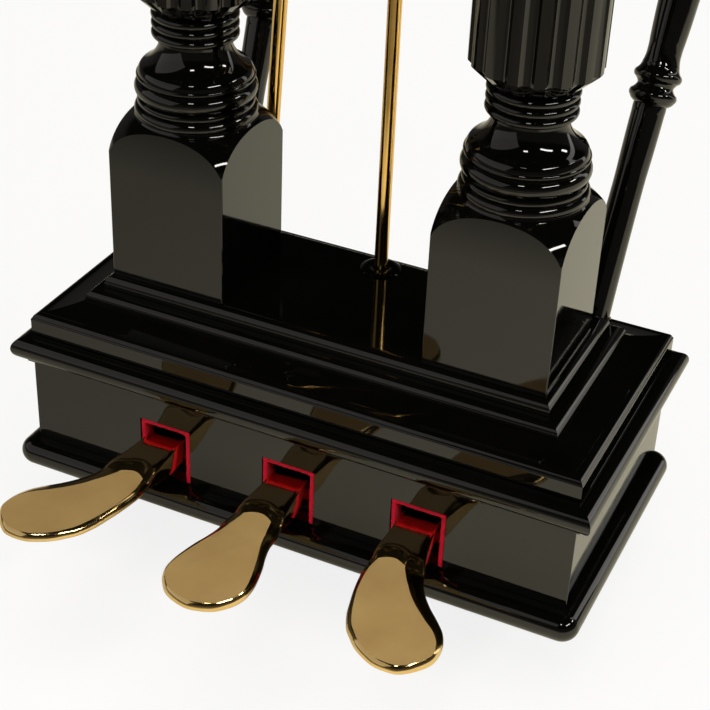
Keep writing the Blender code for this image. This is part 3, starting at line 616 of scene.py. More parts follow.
# Radius and height over the block's shoulder, and how far the stretch to that point bows out
TURNING = (
    (0.0346, 0.0), (0.0340, 0.0008), (0.0338, 0.0016), (0.0336, 0.0064, 0.0009), (0.0316, 0.0073),
    (0.0325, 0.0079), (0.0325, 0.0109, 0.0005), (0.0311, 0.0117), (0.0318, 0.0124),
    (0.0314, 0.0214, 0.0027), (0.0303, 0.0223), (0.0328, 0.0232), (0.0330, 0.0245, 0.0002),
    (0.0323, 0.0253, 0.0001), (0.0305, 0.0292, 0.0003), (0.0198, 0.0432, -0.0021), (0.0213, 0.0442),
    (0.0213, 0.0454), (0.0216, 0.0459), (0.0216, 0.0507, 0.0026), (0.0213, 0.0511), (0.0216, 0.0515),
    (0.0216, 0.0560, 0.0025), (0.0213, 0.0564), (0.0216, 0.0568), (0.0216, 0.0614, 0.0026),
    (0.0222, 0.0626),
)
DRUM_FOOT = (0.0239, 0.0630)
DRUM = (0.0343, 0.0727)
CHAMFER_STEPS = 4
RIBS = 16
RIB_HALF = 4.6875
RIB_SLACK = 0.01
FLUTE_DEEP = 0.0025
FLUTE_START = 0.35
POST_STEPS = 192
POST_SMOOTH = 24.0


def flute_depth(angle):
    """How deep a flute is at an angle, as a share of its depth: 0 on a rib and 1 at its middle."""
    pitch = 360.0 / RIBS
    from_rib = abs((angle + pitch / 2) % pitch - pitch / 2)
    if from_rib <= RIB_HALF + RIB_SLACK:
        return 0.0
    half = math.radians(pitch / 2 - RIB_HALF) * DRUM[0]
    radius = (half ** 2 + FLUTE_DEEP ** 2) / (2 * FLUTE_DEEP)
    off_middle = math.radians(pitch / 2 - from_rib) * DRUM[0]
    return (math.sqrt(radius ** 2 - off_middle ** 2) - radius + FLUTE_DEEP) / FLUTE_DEEP


def post_half(block):
    """The turned line from the foot of a block to the drum, with heights from the block's end."""
    half = BLANK / 2
    centre = block - SHOULDER - math.sqrt(DOME ** 2 - DOME_IN ** 2)
    last = math.acos(DOME_IN / DOME)
    line = [Vector((half * math.sqrt(2) + PAST, 0.0))]
    for step in range(DOME_STEPS + 1):
        angle = last * step / DOME_STEPS
        line.append(Vector((half - DOME_IN + DOME * math.cos(angle), centre + DOME * math.sin(angle))))
    line += [point + Vector((0.0, block)) for point in bowed(TURNING, 10)]
    for step in range(CHAMFER_STEPS + 1):
        share = step / CHAMFER_STEPS
        radius = DRUM_FOOT[0] + (DRUM[0] - DRUM_FOOT[0]) * share
        line.append(Vector((radius, block + DRUM_FOOT[1] + (DRUM[1] - DRUM_FOOT[1]) * share)))
    return line


low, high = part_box('post_left')
post_foot, post_top = low.z + LOWER_TENON, high.z - UPPER_TENON
post_length = post_top - post_foot
lower_half = post_half(LOWER_BLOCK)
upper_half = [Vector((point.x, post_length - point.y)) for point in reversed(post_half(UPPER_BLOCK))]
line = [(0.0, -LOWER_TENON), (TENON, -LOWER_TENON), (TENON, 0.0), *lower_half, *upper_half,
        (TENON, post_length), (TENON, post_length + UPPER_TENON), (0.0, post_length + UPPER_TENON)]
post = turn_on_lathe('post_pattern', line, POST_STEPS)
take_up(post)
post.rotation_euler = (0.0, 0.0, math.pi / POST_STEPS)
fix_place()
flutes_from = LOWER_BLOCK + DRUM_FOOT[1] - TINY
flutes_to = post_length - UPPER_BLOCK - DRUM_FOOT[1] + TINY
for vertex in post.data.vertices:
    if flutes_from < vertex.co.z < flutes_to:
        radius = math.hypot(vertex.co.x, vertex.co.y)
        share = FLUTE_START + (1 - FLUTE_START) * (radius - DRUM_FOOT[0]) / (DRUM[0] - DRUM_FOOT[0])
        angle = math.degrees(math.atan2(vertex.co.y, vertex.co.x))
        shrink = 1 - flute_depth(angle) * FLUTE_DEEP * share / radius
        vertex.co.x *= shrink
        vertex.co.y *= shrink
blank = board('blank', (-BLANK / 2, -BLANK / 2, -2 * LOWER_TENON),
              (BLANK / 2, BLANK / 2, post_length + 2 * UPPER_TENON))
ease(blank, CORNER_EASE, 3, upright)
carve(post, [blank], 'INTERSECT')
for word in ('left', 'right'):
    turned = copied(post, 'turned_post_' + word)
    set_down(turned, (post_places[word].x, post_places[word].y, post_foot))
    lacquered(turned, 'post_' + word, POST_SMOOTH)
bpy.data.objects.remove(post)

# Lid boards: the platform that the posts stand on, the thinner step under it and the deck board inside
# the cornice. Lacquered hardwood with rounded upper edges, drilled for the tenons and the rods.
EDGE_ROUND = {'platform_board': 0.0056, 'platform_step': 0.0050, 'deck_board': 0.0003}
EDGE_STEPS = 8


def upper_edge(piece):
    """A test that finds the edges round the top of a board."""
    top = max(vertex.co.z for vertex in piece.data.vertices)
    return lambda edge: all(vertex.co.z > top - TINY for vertex in edge.verts)


for node, round_edge in EDGE_ROUND.items():
    low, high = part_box(node)
    lid = board('lacquered_' + node, low, high)
    ease(lid, round_edge, EDGE_STEPS, upper_edge(lid))
    carve(lid, tenon_holes(low.z) + rod_holes(low.z))
    lacquered(lid, node)

# Cornice, four strips of lacquered moulding round the lid, mitred at the corners. Its upper side
# slopes out from the step in a long shallow hollow, and its outer edge is square with eased arrises.
MITRE_GAP = 0.00003
MITRE_PAST = 0.02
CORNICE_IN = 0.036
CORNICE_EDGE = 0.0104
STEP_IN = 0.0230
ARRIS = 0.0011
EDGE_ROLL = (-0.0055, -0.0043, 0.0012)
HOLLOW = -0.0005
SIDE_WORDS = ('front', 'right', 'back', 'left')

wall_low, wall_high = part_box('front_board')
half_width = wall_high.x
half_depth = -wall_low.y
cornice_low, cornice_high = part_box('cornice_front')


def drawn_out(name, section, along):
    """A piece whose section is drawn from point to point, filled and drawn out."""
    draw(section)
    bpy.ops.mesh.select_all(action='SELECT')
    bpy.ops.mesh.edge_face_add()
    bpy.ops.mesh.extrude_region_move(TRANSFORM_OT_translate={'value': along})
    face_out()
    return settle(name)


def mitred_strip(name, profile, side):
    """One strip of a moulding: its section drawn at one end, drawn out and cut at 45 degrees twice."""
    along, across = (half_width, half_depth) if side % 2 == 0 else (half_depth, half_width)
    reach = along + MITRE_PAST
    section = [Vector((-reach, -(across + out), height)) for out, height in profile]
    strip = drawn_out(name, section, (2 * reach, 0, 0))
    cut_off(strip, *(((end * (along - MITRE_GAP), -across, 0.0), (end, 1.0, 0.0)) for end in (-1, 1)))
    strip.rotation_euler = (0.0, 0.0, side * math.pi / 2)
    fix_place()
    return strip


top, foot = cornice_high.z, cornice_low.z
edge_top = foot + CORNICE_EDGE
cornice_line = bowed((
    (-CORNICE_IN, foot), (-ARRIS, foot), (0.0, foot + ARRIS, 0.3 * ARRIS), (0.0, edge_top - ARRIS),
    (-0.6 * ARRIS, edge_top + 0.5 * ARRIS, 0.25 * ARRIS),
    (EDGE_ROLL[0], top + EDGE_ROLL[1], EDGE_ROLL[2]), (-STEP_IN, top, HOLLOW), (-CORNICE_IN, top),
), 10)
for side, word in enumerate(SIDE_WORDS):
    lacquered(mitred_strip('cornice_strip_' + word, cornice_line, side), 'cornice_' + word)

# Half round under the cornice, with a small square fillet below it. Four lacquered strips, mitred as
# the cornice is and glued to the walls.
NOSE_RADIUS = 0.0072
NOSE_OUT = 0.0022
NOSE_DROP = 0.0083
NOSE_OFF = 0.0001
FILLET_OUT = 0.0025
FILLET_TALL = 0.0026
FILLET_EASE = 0.0003

nose_centre = foot - NOSE_DROP
nose_foot = nose_centre - NOSE_RADIUS - FILLET_TALL
nose_line = bowed((
    (NOSE_OFF, nose_foot), (FILLET_OUT - FILLET_EASE, nose_foot),
    (FILLET_OUT, nose_foot + FILLET_EASE, FILLET_EASE / 3), (FILLET_OUT, nose_centre - NOSE_RADIUS),
    (NOSE_OUT, nose_centre - NOSE_RADIUS), (NOSE_OUT, nose_centre + NOSE_RADIUS, NOSE_RADIUS),
    (NOSE_OFF, nose_centre + NOSE_RADIUS),
), 20)
for side, word in enumerate(SIDE_WORDS):
    lacquered(mitred_strip('half_round_' + word, nose_line, side), 'nose_moulding_' + word)

# Walls of the pedal box, four lacquered boards glued edge to edge. The front board has a slot for each
# pedal, cut square and up from its lower edge.
WALL_EASE = 0.0007
SIDE_EASE = 0.0001
JOINT = 0.00003
SLOT_WIDE = 0.0330
SLOT_PAST = 0.01

pedal_words = ('left', 'middle', 'right')
slot_places = [middle_of('slot_felt_' + word).x for word in pedal_words]
slot_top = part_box('slot_felt_middle')[1].z + GAP
front = board('front_wall', wall_low, wall_high)
ease(front, WALL_EASE, 4, lambda edge: upright(edge) and edge.verts[0].co.y < LEVEL - half_depth)
carve(front, [board('slot', (x - SLOT_WIDE / 2, -1.5 * half_depth, wall_low.z - SLOT_PAST),
                    (x + SLOT_WIDE / 2, 0.0, slot_top)) for x in slot_places])
lacquered(front, 'front_board')
back_low, back_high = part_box('back_board')
back = board('back_wall', back_low, back_high)
ease(back, WALL_EASE, 4, lambda edge: upright(edge) and edge.verts[0].co.y > half_depth - LEVEL)
lacquered(back, 'back_board')
for word in ('left', 'right'):
    low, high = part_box('side_board_' + word)
    low.y, high.y = wall_high.y + JOINT, back_low.y - JOINT
    wall = board('side_wall_' + word, low, high)
    ease(wall, SIDE_EASE, 1)
    lacquered(wall, 'side_board_' + word)

# Base board, lacquered, with round corners and a full bullnose. A shallow hollow is scooped out of its
# front edge below each slot, so that the pedals clear it at the bottom of their travel.
BASE_CORNER = 0.0100
BULLNOSE = 0.0081
BASE_STEPS = 12
SHARP = 1.0
HOLLOW_HALF = 0.0195
HOLLOW_DEEP = 0.0030
HOLLOW_PAST = 0.02
HOLLOW_SIDES = 256

low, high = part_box('base_board')
base = board('bullnosed_base', low, high)
ease(base, BASE_CORNER, BASE_STEPS, upright)
ease(base, BULLNOSE, BASE_STEPS, lambda edge: (
    not upright(edge) and len(edge.link_faces) == 2 and edge.calc_face_angle() > SHARP))
scoop = (HOLLOW_HALF ** 2 + HOLLOW_DEEP ** 2) / (2 * HOLLOW_DEEP)
start, end = low.y - HOLLOW_PAST, wall_high.y
carve(base, [drill_bit((x, (start + end) / 2, high.z - HOLLOW_DEEP + scoop), (0, 1, 0), scoop, end - start,
                       HOLLOW_SIDES) for x in slot_places])
lacquered(base, 'base_board')

# Slot linings, a strip of thick red felt glued round the top and both sides of each slot, so that the
# pedals don't knock. Cut with a knife, so its front edge is square, soft and a little hairy.
FELT_THICK = 0.0028
FELT_DEEP = 0.0085
FELT_VOXEL = 0.00055
FELT_NAP = 0.0008
NAP_SCALE = 0.0022
NAP_LEVEL = 0.62
FELT_DARK = (0.42, 0.0015, 0.012)
FELT_PALE = (0.80, 0.006, 0.040)
FELT_SHEEN = (1.0, 0.35, 0.42)


def felt_finish():
    """Pressed wool: a deep red with paler fibre ends, matt, with sheen and a tangled nap."""
    made, tree, shader, place = new_finish('red_wool_felt')
    tangle = grain(tree, place, 1500.0, 5.0)
    clumps = grain(tree, place, 260.0, 3.0)
    nap = dents(tree, tangle, 0.0006, 0.7)
    feed(tree, shader, {
        'Base Color': shades(tree, tangle, FELT_DARK, FELT_PALE, 0.35, 0.65), 'Roughness': 0.95,
        'Specular IOR Level': 0.15, 'Sheen Weight': 0.18, 'Sheen Roughness': 0.5,
        'Sheen Tint': (*FELT_SHEEN, 1.0), 'Normal': dents(tree, clumps, 0.0008, 0.4, nap)})
    return made


felt = felt_finish()


def felted(piece, voxel, node):
    """Softens a cut piece of felt with a nap that stands up unevenly, and hands it over."""
    finish_modifier(piece, 'REMESH', mode='VOXEL', voxel_size=voxel)
    nap = bpy.data.textures.new('nap', 'CLOUDS')
    nap.noise_scale = NAP_SCALE
    nap.noise_depth = 2
    finish_modifier(
        piece, 'DISPLACE', texture=nap, texture_coords='LOCAL', strength=FELT_NAP, mid_level=NAP_LEVEL)
    take_up(piece)
    bpy.ops.object.shade_smooth()
    hand_over(piece, 'lyre_frame', 'red_felt', felt, node)


for word, x in zip(pedal_words, slot_places):
    low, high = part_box('slot_felt_' + word)
    outer = (high.x - low.x) / 2
    inner, inner_top = outer - FELT_THICK, high.z - FELT_THICK
    line = ((-outer, low.z), (-inner, low.z), (-inner, inner_top), (inner, inner_top),
            (inner, low.z), (outer, low.z), (outer, high.z), (-outer, high.z))
    section = [Vector((x + across, low.y, height)) for across, height in line]
    lining = drawn_out('felt_lining_' + word, section, (0, FELT_DEEP, 0))
    felted(lining, FELT_VOXEL, 'slot_felt_' + word)

# Pedals, cast in brass and polished all over but for the face under the foot, which is ground flat and
# left satin. The outer two turn away from the middle one, and each swings on the steel pin in its lever.
LEVER_HALF = 0.0060
LEVER_SIDE = 0.0060
PAD_SIDE = 0.0080
PAD_LONG = 0.0240
NECK_RISE = 0.0090
TOE_RISE = 0.0062
TOE_THICK = 0.0052
WALL_THICK = 0.016
NECK_BLEND = 0.0050
NECK_CLEAR = 0.0005
SHOULDER_FROM = 0.0236
SHOULDER_TO = 0.0322
SHOULDER_POWER = 1.6
BELLY_FROM = 0.0140
BELLY_TO = 0.0400
PIN_HOLE = 0.0033
PIN_BIT = 0.04
SHOULDER_CURL = 0.0040
UNDER_ROUND = 0.0012
UNDER_STEPS = 4
RIM_STEPS = 10
OUTLINE_STEPS = 8
STEER = -0.01
PAD_SLOPE = 0.001
# The rim's drop at the box, and how much more it drops from one reach to another
RIM_DROP = 0.0010
RIM_DROPS = ((0.0012, 0.0, 0.02), (0.0014, 0.022, 0.042))
RIM_ARRIS = (40.0, 0.028, 0.042)
# The upper face's small faces: rows along the reach, and columns across the shoulder
ROW = 0.001
ROWS = range(-22, 49)
COLUMN = 0.0016
COLUMNS = range(-7, 13)
COLUMNS_FROM, COLUMNS_TO = 0.020, 0.048
# The facet number says how far past the shoulder's end a point is, in millimetres, within two limits
FACET_PER_METRE = 1000
FACET_LEAST, FACET_MOST = -20.0, 1.0
CAST_SMOOTH = 22.0
SATIN_METAL = 0.45
SATIN_DEEP = (0.56, 0.36, 0.135)
SATIN_BRIGHT = (0.64, 0.43, 0.165)
# Where a pedal is cut across in front of the box. Middle one: reach from the box's face, half width and
# how wide the rounded rim is. Outer ones: reach, inner and outer edge, and the rim inside each edge.
MIDDLE_TOE = tuple((reach, -half, half, rim, rim) for reach, half, rim in (
    (0.0000, 0.0105, 0.0010), (0.0290, 0.0135, 0.0062), (0.0430, 0.0160, 0.0062), (0.0520, 0.0162, 0.0044),
    (0.0610, 0.0183, 0.0037), (0.0700, 0.0212, 0.0037), (0.0830, 0.0240, 0.0030), (0.0920, 0.0244, 0.0021),
    (0.0975, 0.0232, 0.0018), (0.1030, 0.0205, 0.0016), (0.1100, 0.0140, 0.0016), (0.1138, 0.0040, 0.0018),
))
OUTER_TOE = (
    (0.0000, -0.0105, 0.0115, 0.0010, 0.0010), (0.0200, -0.0110, 0.0150, 0.0036, 0.0080),
    (0.0330, -0.0113, 0.0190, 0.0048, 0.0110), (0.0450, -0.0115, 0.0240, 0.0034, 0.0088),
    (0.0550, -0.0103, 0.0310, 0.0028, 0.0082), (0.0645, -0.0085, 0.0400, 0.0024, 0.0075),
    (0.0720, -0.0066, 0.0460, 0.0025, 0.0058), (0.0810, -0.0041, 0.0495, 0.0029, 0.0036),
    (0.0900, 0.0000, 0.0500, 0.0027, 0.0018), (0.0955, 0.0045, 0.0483, 0.0023, 0.0016),
    (0.1007, 0.0095, 0.0447, 0.0022, 0.0016), (0.1050, 0.0160, 0.0405, 0.0022, 0.0018),
    (0.1083, 0.0240, 0.0345, 0.0021, 0.0020),
)


def eased(value, start, end):
    """A smooth climb from 0 at start to 1 at end."""
    share = min(max((value - start) / (end - start), 0.0), 1.0)
    return share * share * (3 - 2 * share)


def curve_through(points, steps):
    """A smooth line through points, leaving out the first and last stretch that only steer it."""
    line = []
    for before, start, end, after in zip(points, points[1:], points[2:], points[3:]):
        for step in range(steps):
            t = step / steps
            line.append(0.5 * (2 * start + (end - before) * t
                               + (2 * before - 5 * start + 4 * end - after) * t * t
                               + (3 * start - before - 3 * end + after) * t * t * t))
    line.append(points[-2])
    return line


def pedal_plan(stations, rear):
    """A pedal's outline from above: how far across, and the reach from the box's face."""
    inner = [Vector((station[1], station[0])) for station in stations]
    outer = [Vector((station[2], station[0])) for station in stations]
    steer_in, steer_out = Vector((inner[0].x, STEER)), Vector((outer[0].x, STEER))
    toe = curve_through([steer_in, *inner, *outer[::-1], steer_out], OUTLINE_STEPS)
    neck_end, lever_end = -WALL_THICK - NECK_CLEAR, -WALL_THICK - NECK_BLEND
    pad_end = PAD_LONG - rear
    lever = [Vector(point) for point in (
        (LEVER_SIDE, lever_end), (LEVER_SIDE, pad_end + PAD_SLOPE), (PAD_SIDE, pad_end), (PAD_SIDE, -rear))]
    other_side = [Vector((-point.x, point.y)) for point in reversed(lever)]
    return [*toe, Vector((outer[0].x, neck_end)), *lever, *other_side, Vector((inner[0].x, neck_end))]


def curled(reach, off_middle):
    """The reach as the shoulder sees it, which curls round the end of the foot's face."""
    return reach - SHOULDER_CURL * off_middle ** 2


def pedal_top(reach, off_middle):
    """The height of the upper face over the pin."""
    neck = LEVER_HALF + (NECK_RISE - LEVER_HALF) * eased(reach, -WALL_THICK - NECK_BLEND, -WALL_THICK)
    share = (curled(reach, off_middle) - SHOULDER_FROM) / (SHOULDER_TO - SHOULDER_FROM)
    return neck + (TOE_RISE - NECK_RISE) * min(max(share, 0.0), 1.0) ** SHOULDER_POWER


def pedal_underside(reach):
    """The height of the underside over the pin."""
    return -LEVER_HALF + (TOE_RISE - TOE_THICK + LEVER_HALF) * eased(reach, BELLY_FROM, BELLY_TO)


def rim_drop(reach):
    """How far the rounded rim falls from the upper face."""
    return RIM_DROP + sum(more * eased(reach, start, end) for more, start, end in RIM_DROPS)


def rim_start(reach):
    """The angle at which the rim sets off from the upper face: tangent at the neck, an arris at the toe."""
    angle, start, end = RIM_ARRIS
    return math.radians(angle) * eased(reach, start, end)


def cut_across(stations, reach):
    """Both edges and both rim widths at a reach."""
    for near, far in zip(stations, stations[1:]):
        if reach <= far[0]:
            share = max(reach - near[0], 0.0) / (far[0] - near[0])
            return [near[i] + (far[i] - near[i]) * share for i in range(1, 5)]
    return stations[-1][1:]


def rim_width(stations, point):
    """How wide the rim is inside a point of the outline."""
    inner, outer, rim_inner, rim_outer = cut_across(stations, point.y)
    return rim_inner if point.x < (inner + outer) / 2 else rim_outer


def off_the_middle(stations, x, reach):
    """How far off the middle of the upper face a point is, as a share of half its width."""
    inner, outer, rim_inner, rim_outer = cut_across(stations, reach)
    left, right = inner + rim_inner, outer - rim_outer
    return min(abs(x - (left + right) / 2) / ((right - left) / 2), 1.0)


def pedal_brass_finish():
    """Polished brass with the satin of fine grinding where the piece's facet value is over zero."""
    made, tree, shader, place = new_finish('polished_and_satin_brass')
    facet = add_node(tree, 'ShaderNodeAttribute', attribute_name='facet').outputs['Fac']
    satin = between(tree, facet, 0.0, 1.0, -0.1, 0.1)
    cloud = grain(tree, place, 60.0, 4.0)
    buffing = grain(tree, place, 700.0, 2.0, (1.0, 0.06, 1.0))
    wear = grain(tree, place, 35.0, 3.0)
    colour = mix_colours(tree, satin, shades(tree, cloud, BRASS_DEEP, BRASS_BRIGHT),
                         shades(tree, wear, SATIN_DEEP, SATIN_BRIGHT))
    rough = mix_numbers(tree, satin, between(tree, cloud, 0.09, 0.15), between(tree, wear, 0.40, 0.46))
    feed(tree, shader, {
        'Metallic': mix_numbers(tree, satin, 1.0, SATIN_METAL), 'Base Color': colour, 'Roughness': rough,
        'Normal': dents(tree, buffing, 0.0001, 0.05)})
    return made


def cast_pedal(name, stations, side, pivot, rear):
    """A pedal: rings round its outline, from the underside up to the rim of its upper face."""
    plan = pedal_plan(stations, rear)
    count = len(plan)
    inward = []
    for i, point in enumerate(plan):
        run = (plan[(i + 1) % count] - plan[i - 1]).normalized()
        inward.append(Vector((-run.y, run.x)))
    if sum(a.x * b.y - b.x * a.y for a, b in zip(plan, plan[1:] + plan[:1])) < 0:
        inward = [-step for step in inward]
    rings = []
    for step in range(UNDER_STEPS + 1):
        angle = math.pi / 2 * step / UNDER_STEPS
        moved = [point + into * UNDER_ROUND * (1 - math.sin(angle)) for point, into in zip(plan, inward)]
        rings.append([(at, pedal_underside(at.y) + UNDER_ROUND * (1 - math.cos(angle))) for at in moved])
    for step in range(RIM_STEPS + 1):
        share = step / RIM_STEPS
        ring = []
        for point, into in zip(plan, inward):
            start = rim_start(point.y)
            angle = math.pi / 2 + (start - math.pi / 2) * share
            at = point + into * rim_width(stations, point) * (1 - math.sin(angle)) / (1 - math.sin(start))
            drop = rim_drop(point.y) * (math.cos(start) - math.cos(angle)) / math.cos(start)
            ring.append((at, pedal_top(at.y, off_the_middle(stations, at.x, at.y)) - drop))
        rings.append(ring)
    points = [(at.x, -at.y, rise) for ring in rings for at, rise in ring]
    last = (len(rings) - 1) * count
    faces = []
    for start in range(0, last, count):
        for i in range(count):
            j = (i + 1) % count
            faces.append((start + i, start + j, start + count + j, start + count + i))
    faces += [tuple(range(count)), tuple(range(last, last + count))]
    mesh = bpy.data.meshes.new(name)
    mesh.from_pydata(points, [], faces)
    for cap in (-2, -1):
        mesh.polygons[cap].material_index = 1
    # An empty material slot for the sides, and one that marks both caps while they are cut
    mesh.materials.append(None)
    mesh.materials.append(None)
    mesh.attributes.new('facet', 'FLOAT', 'POINT')
    pedal = bpy.data.objects.new(name, mesh)
    bpy.context.collection.objects.link(pedal)
    take_up(pedal)
    bpy.ops.object.mode_set(mode='EDIT')
    for row in ROWS:
        choose('faces', lambda face: face.material_index == 1)
        bpy.ops.mesh.bisect(plane_co=(0.0, -row * ROW, 0.0), plane_no=(0.0, 1.0, 0.0))
    for column in COLUMNS:
        choose('faces', lambda face: face.material_index == 1 and face.normal.z > 0 and (
            COLUMNS_FROM < -face.calc_center_median().y < COLUMNS_TO))
        bpy.ops.mesh.bisect(plane_co=(column * COLUMN, 0.0, 0.0), plane_no=(1.0, 0.0, 0.0))
    mesh = bpy.context.edit_object.data
    parts = bmesh.from_edit_mesh(mesh)
    facet = parts.verts.layers.float['facet']
    for vertex in parts.verts:
        vertex[facet] = FACET_LEAST
        if any(face.material_index == 1 for face in vertex.link_faces):
            reach = -vertex.co.y
            if vertex.co.z < TOE_RISE - TOE_THICK + NEAR:
                vertex.co.z = pedal_underside(reach)
            else:
                off_middle = off_the_middle(stations, vertex.co.x, reach)
                vertex.co.z = pedal_top(reach, off_middle)
                past = curled(reach, off_middle) - SHOULDER_TO
                vertex[facet] = min(max(past * FACET_PER_METRE, FACET_LEAST), FACET_MOST)
    for face in parts.faces:
        face.material_index = 0
    bmesh.update_edit_mesh(mesh)
    bpy.ops.object.mode_set(mode='OBJECT')
    pedal.scale = (side or 1, 1.0, 1.0)
    pedal.location = (pivot.x, -half_depth, pivot.z)
    fix_place()
    bpy.ops.object.mode_set(mode='EDIT')
    face_out()
    carve(pedal, [drill_bit(pivot, (1, 0, 0), PIN_HOLE, PIN_BIT, 32)])
    take_up(pedal)
    bpy.ops.object.shade_smooth_by_angle(angle=math.radians(CAST_SMOOTH))
    return pedal


pedal_brass = pedal_brass_finish()
pivots = {joint['child'].removeprefix('pedal_'): Vector(joint['pos_m'])
          for joint in frame['joints'] if joint['type'] == 'hinge'}
for word, side in zip(pedal_words, (-1, 0, 1)):
    node = 'pedal_' + word
    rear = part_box(node)[1].y + half_depth
    pedal = cast_pedal('cast_' + node, OUTER_TOE if side else MIDDLE_TOE, side, pivots[word], rear)
    hand_over(pedal, node, 'polished_brass', pedal_brass, node)

# Pivot brackets and pins, bent from steel strip and screwed to the base board inside the box. They are
# bright drawn steel, seen only through the slots.
STEEL_NODES = ('pivot_bracket_', 'pivot_pin_')
STEEL_DEEP = (0.42, 0.42, 0.44)
STEEL_BRIGHT = (0.60, 0.60, 0.62)


def steel_finish():
    """Bright drawn steel with faint lengthwise lines."""
    made, tree, shader, place = new_finish('bright_drawn_steel')
    lines = grain(tree, place, 420.0, 3.0, (0.1, 1.0, 1.0))
    feed(tree, shader, {
        'Metallic': 1.0, 'Base Color': shades(tree, lines, STEEL_DEEP, STEEL_BRIGHT),
        'Roughness': between(tree, lines, 0.24, 0.38), 'Normal': dents(tree, lines, 0.0001, 0.1)})
    return made


steel = steel_finish()
for word in pedal_words:
    for start in STEEL_NODES:
        for material_slot in frame['nodes'][start + word].material_slots:
            material_slot.material = steel

# Stop strips, two lengths of the same red felt glued across the base board. The levers rest on the
# rear one, and come down on the front one when a pedal is pressed.
STRIP_EASE = 0.0012
STRIP_VOXEL = 0.0009

for node in ('rest_felt', 'limit_felt'):
    low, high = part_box(node)
    strip = board('felt_strip_' + node.removesuffix('_felt'), low, high)
    ease(strip, STRIP_EASE, 3)
    felted(strip, STRIP_VOXEL, node)

# Return springs, six turns of steel wire wound cold, that stand between the levers and the deck board
# and bring the pedals back.
SPRING_TURNS = 6
SPRING_STEPS = 32
SPRING_RADIUS = 0.0062
SPRING_WIRE = 0.0008

for word in pedal_words:
    node = 'return_spring_' + word
    low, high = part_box(node)
    middle = (low + high) / 2
    curve = bpy.data.curves.new('wound_spring_' + word, 'CURVE')
    curve.dimensions = '3D'
    curve.bevel_depth = SPRING_WIRE
    curve.bevel_resolution = 3
    curve.use_fill_caps = True
    wire = curve.splines.new('POLY')
    count = SPRING_TURNS * SPRING_STEPS
    wire.points.add(count)
    for i, point in enumerate(wire.points):
        angle = math.tau * i / SPRING_STEPS
        rise = low.z + SPRING_WIRE + (high.z - low.z - 2 * SPRING_WIRE) * i / count
        point.co = (middle.x + SPRING_RADIUS * math.cos(angle), middle.y + SPRING_RADIUS * math.sin(angle),
                    rise, 1.0)
    spring = bpy.data.objects.new('wound_spring_' + word, curve)
    bpy.context.collection.objects.link(spring)
    take_up(spring)
    bpy.ops.object.convert(target='MESH')
    spring = bpy.context.object
    bpy.ops.object.shade_smooth()
    hand_over(spring, 'lyre_frame', 'bright_steel', steel, node)
    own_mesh(spring)

# Pedal rods, brass rod polished to a mirror, with domed upper ends. Each stands on its lever through a
# leather button, and slides in a brass bush in the lid and another under the keybed.
ROD_RADIUS = 0.0040
ROD_DOME = 0.0012
ROD_BOW = 0.0003
ROD_EASE = 0.0004
ROD_DEEP = (0.78, 0.47, 0.13)
ROD_BRIGHT = (0.86, 0.56, 0.20)
BUTTON_RADIUS = 0.0070
BUTTON_TALL = 0.0053
BUTTON_DOME = 0.00185
BUTTON_BOW = 0.00047
BUTTON_EDGE = 0.0007
BUTTON_EASE = 0.0006
BUSH_RADIUS = 0.0067
BUSH_BORE = 0.0043
CHAMFER = 0.0004
LEATHER_DARK = (0.018, 0.014, 0.011)
LEATHER_WORN = (0.045, 0.036, 0.028)


def leather_finish():
    """Black vegetable-tanned leather: matt, with a fine pebbled grain."""
    made, tree, shader, place = new_finish('black_button_leather')
    pebble = add_node(tree, 'ShaderNodeTexVoronoi', {'Vector': place, 'Scale': 1400.0}).outputs['Distance']
    wear = grain(tree, place, 200.0)
    feed(tree, shader, {
        'Base Color': shades(tree, wear, LEATHER_DARK, LEATHER_WORN),
        'Roughness': between(tree, wear, 0.55, 0.75), 'Normal': dents(tree, pebble, 0.0003, 0.5)})
    return made


def length_along(node, along, radius):
    """The length of a round solid that lies along a direction."""
    low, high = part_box(node)
    return (high.z - low.z - 2 * radius * math.sqrt(max(1 - along.z ** 2, 0.0))) / along.z


rod_brass = brass_finish('polished_brass_rod', ROD_DEEP, ROD_BRIGHT, 0.09, 0.15)
leather = leather_finish()
for word, (middle, along) in rods.items():
    body = 'rod_' + word
    end = length_along(body, along, ROD_RADIUS) / 2
    rod = turn_on_lathe('drawn_rod_' + word, bowed((
        (0.0, -end), (ROD_RADIUS - ROD_EASE, -end), (ROD_RADIUS, ROD_EASE - end),
        (ROD_RADIUS, end - ROD_DOME), (0.0, end, ROD_BOW)), 6), 64)
    set_down(rod, middle, along)
    polish(rod)
    hand_over(rod, body, 'polished_brass', rod_brass, body)
    button = turn_on_lathe('leather_button_' + word, bowed((
        (0.0, 0.0), (BUTTON_RADIUS - BUTTON_EASE, BUTTON_DOME, BUTTON_BOW),
        (BUTTON_RADIUS, BUTTON_DOME + BUTTON_EDGE, 0.0002),
        (BUTTON_RADIUS, BUTTON_TALL - BUTTON_EASE, 0.0001),
        (BUTTON_RADIUS - BUTTON_EASE, BUTTON_TALL, 0.0002), (0.0, BUTTON_TALL)), 6), 48)
    set_down(button, middle - along * (end + BUTTON_TALL + GAP), along)
    polish(button)
    hand_over(button, body, 'black_leather', leather, 'rod_button_' + word)
    for start in ('lower_bush_', 'top_bush_'):
        node = start + word
        end = length_along(node, along, BUSH_RADIUS) / 2
        bore, rim = BUSH_BORE + CHAMFER, BUSH_RADIUS - CHAMFER
        bush = turn_on_lathe('turned_' + node, (
            (BUSH_BORE, CHAMFER - end), (bore, -end), (rim, -end), (BUSH_RADIUS, CHAMFER - end),
            (BUSH_RADIUS, end - CHAMFER), (rim, end), (bore, end), (BUSH_BORE, end - CHAMFER),
        ), 48, ring=True)
        set_down(bush, middle_of(node), along)
        fitted(bush, node)

